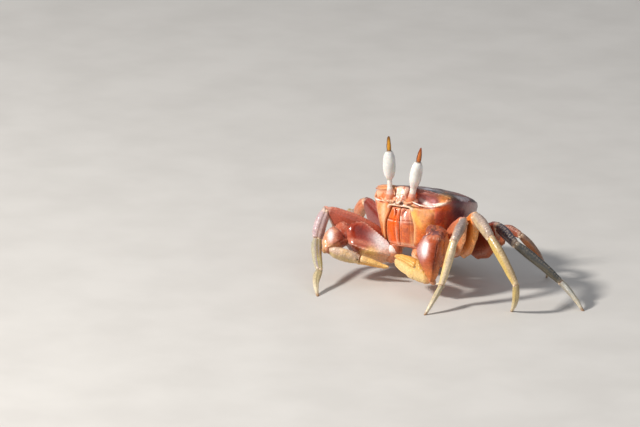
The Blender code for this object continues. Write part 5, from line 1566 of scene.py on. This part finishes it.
    # cheek
    cheek_col = mix(srgb(220, 134, 62), srgb(236, 176, 104), step(0.38, 0.62, n_mid))
    cheek_col = mix(cheek_col, srgb(222, 104, 48), step(0.26, 0.10, z) * 0.75)
    r = np.sqrt((q - 0.285) ** 2 + (z - 0.350) ** 2)
    cheek_col = mix(cheek_col, srgb(200, 100, 70), bell(r + 0.03 * (n_mid - 0.5), 0.070, 0.012) * 0.6 * step(0.3, 0.6, n_small))
    cheek_col = mix(cheek_col, srgb(252, 214, 160), bell(r + 0.03 * (n_mid - 0.5), 0.046, 0.012) * 0.5 * step(0.6, 0.3, n_small))
    cheek_col = mix(cheek_col, srgb(226, 112, 44), bell(z, 0.418, 0.014) * step(0.14, 0.20, q) * 0.85)
    cheek_col = mix(cheek_col, srgb(248, 206, 150), bell(np.abs(q - (mouth_half(z) + 0.024)), 0, 0.012) * 0.65 * step(0.0, 0.05, z))
    brow = step(0.520, 0.540, z) * (1 - socket)
    brow_col = mix(mix(srgb(226, 150, 84), srgb(236, 190, 140), n_small), mix(srgb(150, 84, 72), srgb(96, 50, 44), step(0.4, 0.6, n_mid)), left)
    cheek_col = mix(cheek_col, brow_col, brow)
    col = mix(col, cheek_col, cheek)

    # eye sockets
    in_left = mix(srgb(184, 114, 110), srgb(150, 84, 84), step(0.40, 0.60, n_mid))
    in_left = mix(in_left, srgb(208, 150, 156), step(0.55, 0.68, fbm(P, 16, 3, 3.0)) * 0.7)
    in_left = mix(in_left, srgb(104, 58, 52), step(0.535, 0.560, z) * 0.6)
    in_left = mix(in_left, srgb(222, 150, 84), step(0.350, 0.385, q + 0.03 * (n_small - 0.5)) * 0.90)
    in_left = mix(in_left, srgb(168, 92, 66), step(0.405, 0.440, q) * 0.6)
    in_left = mix(in_left, srgb(216, 104, 52), step(0.17, 0.13, q) * 0.9)
    in_right = mix(srgb(238, 196, 164), srgb(216, 120, 66), step(0.42, 0.62, n_mid))
    col = mix(col, mix(in_right, in_left, left), socket)
    # painted highlight: the lower rim of each eye socket turns near white in two stretches and the skin beside it
    # pales; elsewhere the rim is cream-orange shell
    rim_highlight = np.clip(bell(q, 0.205, 0.055) + 0.9 * bell(q, 0.335, 0.038), 0, 1)
    rim_col = mix(mix(srgb(228, 150, 96), srgb(240, 190, 150), n_small), srgb(255, 244, 236), rim_highlight)
    col = mix(col, rim_col, rim_low * 0.9)
    col = mix(col, srgb(255, 240, 228), step(0.030, 0.006, d_low) * rim_highlight * 0.55 * (1 - recess))
    col = mix(col, mix(srgb(214, 146, 110), srgb(136, 84, 80), left), rim_up * 0.6)
    col = mix(col, srgb(236, 206, 190), rim_up * beads(P, 0.020, 0.42, 0.9, 6.0) * 0.5)
    col = mix(col, srgb(214, 120, 58), bell(d_up, 0.012, 0.010) * step(-0.05, -0.30, x) * (1 - socket) * 0.5)

    # marks of the side that faces the viewer, with painted highlights along the rim under the left eye socket
    W, WN = to_world(P), to_world(N) - to_world(np.zeros(3))
    skin_only = (1 - front_lobe) * (1 - recess)
    col = mix(col, srgb(236, 190, 92), spot(W, WN, 414.5, 217, 2.6, 13, -27, 0.5) * skin_only * (1 - rim_low) * 0.8)
    col = mix(col, srgb(244, 190, 150), spot(W, WN, 426, 213, 6.0, 3.5, 10, 0.8) * skin_only * step(0.3, 0.6, n_small) * 0.8)
    col = mix(col, srgb(186, 92, 52), spot(W, WN, 431, 219, 5.0, 3.0, -20, 0.9) * skin_only * 0.55)
    col = mix(col, srgb(222, 100, 46), spot(W, WN, 440, 209, 9.0, 3.2, -4, 0.6) * skin_only * (1 - rim_low) * 0.85)
    col = mix(col, srgb(176, 64, 44), spot(W, WN, 443, 217, 8.0, 5.5, 0, 0.6) * skin_only * 0.6)
    col = mix(col, srgb(84, 44, 54), spot(W, WN, 458, 210, 9.5, 13, -18, 0.6) * skin_only * (1 - top) * 0.92)
    col = mix(col, srgb(132, 66, 58), spot(W, WN, 447, 222, 8.0, 7.0, 0, 0.7) * skin_only * (1 - top) * 0.65)
    col = mix(col, srgb(214, 150, 82), spot(W, WN, 444, 196.5, 6.5, 4.0, 12, 0.5) * skin_only * 0.75)
    col = mix(col, srgb(206, 92, 40), spot(W, WN, 414.5, 197.5, 5.5, 2.6, 20, 0.5) * skin_only * 0.8)
    col = mix(col, srgb(62, 34, 28), spot(W, WN, 447.5, 189.3, 10.0, 3.0, 14, 0.5) * skin_only * 0.97)
    # painted highlights: two near-white streaks along the rim under the left eye socket
    col = mix(col, srgb(255, 246, 240), spot(W, WN, 424.5, 203.2, 7.6, 2.1, 36, 0.4) * skin_only * 0.9)
    col = mix(col, srgb(255, 240, 228), spot(W, WN, 438, 204.8, 7.5, 1.5, -8, 0.4) * skin_only * 0.85)
    col = mix(col, srgb(206, 132, 92), spot(W, WN, 384, 214, 8.0, 15, 4, 0.6) * skin_only * (1 - rim_low) * 0.45)
    col = mix(col, srgb(206, 132, 88), spot(W, WN, 423, 216, 8.0, 12, -20, 0.6) * skin_only * (1 - rim_low) * 0.45)
    col = mix(col, srgb(196, 158, 150), spot(W, WN, 469, 213, 6.0, 13, -18, 0.6) * skin_only * (1 - top) * 0.7)
    col = mix(col, srgb(250, 214, 176), spot(W, WN, 383, 212, 2.0, 12, 4, 0.8) * skin_only * 0.6)
    col = mix(col, srgb(226, 120, 70), spot(W, WN, 386.5, 208, 1.6, 9, 4, 0.8) * skin_only * 0.5)

    # front lobe, upper lip and pits
    lobe_col = mix(srgb(244, 214, 194), srgb(212, 132, 108), step(0.35, 0.62, n_small))
    lobe_col = mix(lobe_col, srgb(206, 112, 88), bell(x, 0, 0.012) * 0.45 * step(0.56, 0.50, z))
    lobe_col = mix(lobe_col, srgb(250, 226, 206), step(0.52, 0.66, noise(P, 34, 2.0)) * 0.6)
    lobe_col = mix(lobe_col, srgb(200, 130, 96), step(0.575, 0.60, z) * 0.5)
    col = mix(col, lobe_col, front_lobe)
    snout = step(0.145, 0.120, q) * step(0.375, 0.390, z) * step(0.475, 0.455, z) * step(-0.40, -0.46, y)
    col = mix(col, mix(srgb(244, 216, 188), srgb(222, 150, 110), step(0.45, 0.62, n_small)), snout * 0.9)
    # partly painted highlight: the knobs under the front turn near white on their tops over a pinkish-orange ground
    col = mix(col, mix(srgb(206, 120, 84), srgb(255, 240, 224), knobs ** 0.8), muzzle * (0.35 + 0.45 * knobs))
    col = mix(col, srgb(250, 226, 200), lip * 0.70)
    col = mix(col, srgb(116, 50, 34), step(0.010, -0.002, pits(P)) * 0.9)
    col = mix(col, srgb(206, 104, 58), recess * 0.9)
    # pale lower edge over the leg bases
    col = mix(col, srgb(238, 204, 166), step(0.050, 0.012, seam(P)) * step(0.30, 0.10, z) * step(0.20, 0.30, q) * 0.6)
    col = mix(col, srgb(176, 92, 54), step(0.060, 0.020, seam(P)) * step(0.28, 0.22, q) * step(-0.30, -0.36, y) * 0.85)
    col = col * (0.88 + 0.24 * noise(P, 48, 4.0))[:, None]
    return Shape().put(to_world(Q), quads, None, col)


def thorax_piece():
    P, quads, N = nets(sternum_field, (-0.50, -0.50, -0.15), (0.50, 0.50, 0.42), 0.0080, 2)
    x, y, z = P.T
    q = np.abs(x)
    n = fbm(P, 10, 4, 5.0)
    relief = 0.0022 * beads(P, 0.028, 0.38, 0.5, 2.0) + 0.0030 * (fbm(P, 8, 4, 3.0) - 0.5)
    col = mix(srgb(238, 214, 186), srgb(226, 176, 128), step(0.42, 0.62, n))
    col = mix(col, srgb(206, 122, 80), step(0.22, 0.36, q) * 0.75)
    col = mix(col, srgb(236, 200, 176), step(0.52, 0.66, fbm(P, 16, 3, 8.0)) * 0.5)
    for k, y0 in enumerate((-0.25, -0.12, 0.02, 0.16, 0.28)):
        line = y - (y0 + 0.22 * (q - 0.10))
        col = mix(col, srgb(160, 96, 66), bell(line, 0, 0.007) * step(0.07, 0.13, q) * 0.55)
    col = mix(col, srgb(176, 88, 52), step(-0.29, -0.37, y) * 0.9)
    col = col * (0.90 + 0.20 * noise(P, 48, 4.0))[:, None]
    return Shape().put(to_world(P + N * relief[:, None]), quads, None, col)


# ---------------------------------------------------------------- bristles on the lower leg joints
def bristles(name, grids):
    """Short stiff hairs in rows along the last two joints, one small cone each."""
    dice = np.random.RandomState(100 + list(POSE).index(name))
    pts, tris, uv = [], [], []
    count = 0
    for block_i, (P, N, t, th, angles, span, per, size) in enumerate(grids):
        R, A = P.shape[:2]
        length = np.linalg.norm(P[-1].mean(0) - P[0].mean(0))
        for angle in angles:
            col = int(round(angle / (2 * math.pi) * A)) % A
            n = int(per * length)
            for k in range(n):
                at = span[0] + (span[1] - span[0]) * (k + 0.7 * dice.rand()) / n
                row = int(np.clip(np.searchsorted(t, at), 1, R - 2))
                c = (col + dice.randint(-1, 2)) % A
                root, out = P[row, c], N[row, c]
                if root[2] < 0.02:
                    continue
                d = unit(P[min(row + 2, R - 1), c] - P[row, c])
                grow = unit(out * 0.75 + d * 0.65 + 0.18 * (dice.rand(3) - 0.5))
                tall = size * (0.65 + 0.6 * dice.rand())
                side = unit(np.cross(grow, d + 0.01))
                other = np.cross(grow, side)
                r = 0.0015
                base = root - out * 0.003
                ring = [base + r * (side * math.cos(a) + other * math.sin(a)) for a in (0.0, 2.0944, 4.1888)]
                mid = root + grow * tall * 0.55 + d * tall * 0.04
                ring2 = [mid + r * 0.62 * (side * math.cos(a) + other * math.sin(a)) for a in (0.0, 2.0944, 4.1888)]
                tip = root + grow * tall + d * tall * 0.14
                pts += ring + ring2 + [tip]
                b = count
                for i in range(3):
                    j = (i + 1) % 3
                    tris += [(b + i, b + j, b + 3 + j), (b + i, b + 3 + j, b + 3 + i), (b + 3 + i, b + 3 + j, b + 6)]
                tris.append((b + 2, b + 1, b))
                u0, v0 = 0.02 + 0.94 * at, 0.02 + 0.46 * block_i + 0.44 * (c / A)
                patch = [(0, 0), (0.0026, 0), (0.0013, 0.0026), (0, 0.001), (0.0026, 0.001), (0.0013, 0.0020), (0.0013, 0.0012)]
                uv += [(u0 + du, v0 + dv) for du, dv in patch]
                count += 7
    pts, tris = np.array(pts), np.array(tris)
    level = np.tile(np.array((0, 0, 0, 0.55, 0.55, 0.55, 1.0)), len(pts) // 7)
    pts[:, 2] = np.maximum(pts[:, 2], 0.0004)
    col = mix(srgb(176, 146, 108), srgb(232, 214, 180), level)
    return Shape().put(pts, None, tris, col), np.array(uv)


# ---------------------------------------------------------------- materials
def shell_material(name, rough=(0.22, 0.42), coat=0.35, coat_rough=0.10, grain=0.000030, cell=2600.0, vary=0.22, under=0.06, specular=0.28):
    m = bpy.data.materials.new(name)
    m.use_nodes = True
    nt = m.node_tree
    nt.nodes.clear()
    out = nt.nodes.new("ShaderNodeOutputMaterial")
    b = nt.nodes.new("ShaderNodeBsdfPrincipled")
    nt.links.new(b.outputs["BSDF"], out.inputs["Surface"])
    tint = nt.nodes.new("ShaderNodeAttribute")
    tint.attribute_type = "GEOMETRY"
    tint.attribute_name = "tint"
    where = nt.nodes.new("ShaderNodeTexCoord")

    def texture(scale, detail=4.0, roughness=0.6, distortion=0.0):
        n = nt.nodes.new("ShaderNodeTexNoise")
        n.inputs["Scale"].default_value = scale
        n.inputs["Detail"].default_value = detail
        n.inputs["Roughness"].default_value = roughness
        n.inputs["Distortion"].default_value = distortion
        nt.links.new(where.outputs["Object"], n.inputs["Vector"])
        return n.outputs["Fac"]

    def spread(value, low, high, to_low, to_high):
        r = nt.nodes.new("ShaderNodeMapRange")
        r.inputs["From Min"].default_value, r.inputs["From Max"].default_value = low, high
        r.inputs["To Min"].default_value, r.inputs["To Max"].default_value = to_low, to_high
        nt.links.new(value, r.inputs["Value"])
        return r.outputs["Result"]

    def scaled(colour, factor):
        v = nt.nodes.new("ShaderNodeVectorMath")
        v.operation = "SCALE"
        nt.links.new(colour, v.inputs[0])
        nt.links.new(factor, v.inputs["Scale"])
        return v.outputs["Vector"]

    fine = spread(texture(1500.0, 5.0, 0.65, 0.3), 0.3, 0.7, 1 - vary, 1 + vary * 0.7)
    speck = spread(texture(4200.0, 2.0, 0.5), 0.35, 0.65, 1 - vary * 0.5, 1 + vary * 0.4)
    c = scaled(scaled(tint.outputs["Color"], fine), speck)
    nt.links.new(c, b.inputs["Base Color"])
    nt.links.new(spread(texture(900.0, 5.0, 0.6), 0.3, 0.7, rough[0], rough[1]), b.inputs["Roughness"])
    vor = nt.nodes.new("ShaderNodeTexVoronoi")
    vor.feature = "SMOOTH_F1"
    vor.inputs["Scale"].default_value = cell
    vor.inputs["Smoothness"].default_value = 0.6
    nt.links.new(where.outputs["Object"], vor.inputs["Vector"])
    add = nt.nodes.new("ShaderNodeMath")
    add.operation = "MULTIPLY_ADD"
    nt.links.new(texture(2200.0, 5.0, 0.6), add.inputs[0])
    add.inputs[1].default_value = 0.9
    nt.links.new(spread(vor.outputs["Distance"], 0.0, 0.8, 1.0, 0.0), add.inputs[2])
    bump = nt.nodes.new("ShaderNodeBump")
    bump.inputs["Strength"].default_value = 0.75
    bump.inputs["Distance"].default_value = grain
    nt.links.new(add.outputs["Value"], bump.inputs["Height"])
    nt.links.new(bump.outputs["Normal"], b.inputs["Normal"])
    b.inputs["Coat Weight"].default_value = coat
    b.inputs["Coat Roughness"].default_value = coat_rough
    b.inputs["Specular IOR Level"].default_value = specular
    b.inputs["Subsurface Weight"].default_value = under
    b.inputs["Subsurface Radius"].default_value = (1.0, 0.45, 0.25)
    b.inputs["Subsurface Scale"].default_value = 0.0008
    return m


MAT = {
    "carapace": shell_material("carapace_shell_look", (0.24, 0.44), 0.40, 0.12, 0.000035, 2400.0),
    "under": shell_material("underside_look", (0.32, 0.52), 0.15, 0.20, 0.000030, 2200.0),
    "mouth": shell_material("mouth_plate_look", (0.20, 0.36), 0.45, 0.08, 0.000020, 2800.0),
    "leg": shell_material("leg_shell_look", (0.24, 0.42), 0.35, 0.12, 0.000030, 2600.0),
    "foot": shell_material("foot_shell_look", (0.32, 0.52), 0.15, 0.20, 0.000028, 3000.0),
    "claw": shell_material("claw_shell_look", (0.20, 0.36), 0.42, 0.08, 0.000020, 2600.0),
    "finger": shell_material("finger_shell_look", (0.22, 0.40), 0.35, 0.12, 0.000028, 2600.0),
    "eye": shell_material("cornea_look", (0.20, 0.30), 0.60, 0.06, 0.000006, 5200.0, 0.06, 0.25),
    "stalk": shell_material("eyestalk_look", (0.30, 0.46), 0.25, 0.15, 0.000020, 3200.0, 0.14, 0.15),
    "horn": shell_material("eye_horn_look", (0.22, 0.36), 0.40, 0.10, 0.000012, 3000.0, 0.18, 0.12),
    "bristle": shell_material("bristle_look", (0.40, 0.60), 0.0, 0.20, 0.000004, 5000.0, 0.20, 0.0),
}

# ---------------------------------------------------------------- place of the model in the shared frame
_lean, _base, _top, _tip = EYES["R"]
_mid = to_world((-EYE_FOOT[0], EYE_FOOT[1], EYE_FOOT[2])) + eye_axis("R") * (_base + _top) / 2
_lo, _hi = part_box("eye_R")
SHIFT = (np.array(_lo) + np.array(_hi)) / 2 - _mid * CW

# ---------------------------------------------------------------- the pieces
carapace_piece().make("carapace_look", MAT["carapace"], ("carapace",), "carapace_shell")
thorax_piece().make("thorax_look", MAT["under"], ("thorax",), "underside_shell")
abdomen_piece().make("abdomen_look", MAT["under"], ("abdomen",), "underside_shell")
for s, side in (("L", 1), ("R", -1)):
    mouth_piece(side).make(f"mxp3_{s}_look", MAT["mouth"], (f"mxp3_{s}",), "mouth_plates")
    stalk, eye, horn = eye_pieces(s)
    stalk.make(f"eyestalk_{s}_look", MAT["stalk"], (f"eyestalk_{s}",), "eye_surface")
    eye.make(f"eye_{s}_look", MAT["eye"], (f"eye_{s}",), "eye_surface")
    horn.make(f"stylet_{s}_look", MAT["horn"], (f"stylet_{s}",), "eye_horn")
    antenna_piece(s).make(f"antenna_{s}_look", MAT["leg"], (f"antenna_{s}",), "leg_shell")
    arm_piece(s).make(f"cheliped_{s}_arm_look", MAT["claw"], (f"cheliped_{s}_arm",), "claw_shell")
    wrist_piece(s).make(f"cheliped_{s}_wrist_look", MAT["claw"], (f"cheliped_{s}_wrist",), "claw_shell")
    hand_piece(s).make(f"cheliped_{s}_hand_look", MAT["finger"], (f"cheliped_{s}_hand",), "finger_shell")
    finger_piece(s).make(f"cheliped_{s}_finger_look", MAT["finger"], (f"cheliped_{s}_finger",), "finger_shell")
for name in POSE:
    grids = []
    for i, part in enumerate(PARTS):
        shape, (P, N, t, th) = leg_piece(name, i)
        shape.make(f"{name}_{part}_look", MAT["foot" if i == 3 else "leg"], (f"{name}_{part}",), "foot_shell" if i == 3 else "leg_shell")
        if i == 2:
            grids.append((P, N, t, th, (math.pi * 0.96, math.pi * 1.05, 0.05), (0.10, 0.94), 30, 0.015))
        if i == 3:
            grids.append((P, N, t, th, tuple(math.pi * k / 3 + math.pi / 6 for k in range(6)), (0.08, 0.80), 30, 0.013))
    hairs, uv = bristles(name, grids)
    hairs.make(f"{name}_bristles", MAT["bristle"], (), "leg_shell", True, uv)


# ---------------------------------------------------------------- floor, light, camera
def floor_material():
    m = bpy.data.materials.new("floor_look")
    m.use_nodes = True
    nt = m.node_tree
    b = nt.nodes["Principled BSDF"]
    n = nt.nodes.new("ShaderNodeTexNoise")
    n.inputs["Scale"].default_value = 30.0
    n.inputs["Detail"].default_value = 3.0
    where = nt.nodes.new("ShaderNodeTexCoord")
    nt.links.new(where.outputs["Object"], n.inputs["Vector"])
    ramp = nt.nodes.new("ShaderNodeValToRGB")
    ramp.color_ramp.elements[0].position, ramp.color_ramp.elements[1].position = 0.35, 0.65
    ramp.color_ramp.elements[0].color = (0.60, 0.585, 0.565, 1)
    ramp.color_ramp.elements[1].color = (0.64, 0.625, 0.605, 1)
    nt.links.new(n.outputs["Fac"], ramp.inputs["Fac"])
    nt.links.new(ramp.outputs["Color"], b.inputs["Base Color"])
    b.inputs["Roughness"].default_value = 0.65
    b.inputs["Specular IOR Level"].default_value = 0.2
    return m


half = 9.0
floor_mesh = bpy.data.meshes.new("floor")
floor_mesh.from_pydata([(-half, -half, -0.00002), (half, -half, -0.00002), (half, half, -0.00002), (-half, half, -0.00002)], [], [(0, 1, 2, 3)])
floor_mesh.materials.append(floor_material())
floor = bpy.data.objects.new("floor", floor_mesh)
bpy.context.scene.collection.objects.link(floor)

THETA, LOOK_DOWN = math.radians(40.0), math.radians(16.0)
RIGHT = np.array((math.cos(THETA), math.sin(THETA), 0.0))
TOWARD = np.array((math.sin(THETA), -math.cos(THETA), 0.0))
BACK = np.array((math.sin(THETA) * math.cos(LOOK_DOWN), -math.cos(THETA) * math.cos(LOOK_DOWN), math.sin(LOOK_DOWN)))
UP = np.cross(BACK, RIGHT)


def area_light(name, place, target, size, power, colour):
    data = bpy.data.lights.new(name, "AREA")
    data.shape = "DISK"
    data.size = size
    data.energy = power
    data.color = colour
    lamp = bpy.data.objects.new(name, data)
    bpy.context.scene.collection.objects.link(lamp)
    lamp.location = Vector(place)
    lamp.rotation_euler = (Vector(target) - Vector(place)).to_track_quat("-Z", "Y").to_euler()
    return lamp


middle = SHIFT + CW * np.array((0.05, -0.1, 0.5))
sun_way = unit(-RIGHT * 0.92 + TOWARD * 0.42 + np.array((0, 0, 0.72)))
area_light("key", middle + sun_way * 1.3, middle, 0.17, 21.5, (1.0, 0.955, 0.89))
area_light("fill", middle + unit(RIGHT * 0.7 + TOWARD * 0.9 + np.array((0, 0, 0.8))) * 1.6, middle, 1.4, 4.5, (0.93, 0.96, 1.0))
area_light("top", middle + np.array((-0.2, 0.3, 1.6)), middle, 1.6, 3.5, (0.97, 0.98, 1.0))

world = bpy.data.worlds.new("studio")
bpy.context.scene.world = world
world.use_nodes = True
world.node_tree.nodes["Background"].inputs["Color"].default_value = (0.86, 0.88, 0.92, 1)
world.node_tree.nodes["Background"].inputs["Strength"].default_value = 0.24

bpy.context.scene.view_settings.view_transform = "Standard"

camera_data = bpy.data.cameras.new("camera")
camera_data.sensor_width = 36.0
camera_data.lens = 281.25
camera_data.clip_start, camera_data.clip_end = 0.05, 60.0
camera = bpy.data.objects.new("camera", camera_data)
bpy.context.scene.collection.objects.link(camera)
aim = SHIFT + CW * (RIGHT * -1.04 + UP * 0.595)
place = aim + BACK * 2.0
turn = Matrix((tuple(RIGHT), tuple(UP), tuple(BACK))).transposed().to_4x4()
camera.matrix_world = Matrix.Translation(Vector(place)) @ turn
bpy.context.scene.camera = camera
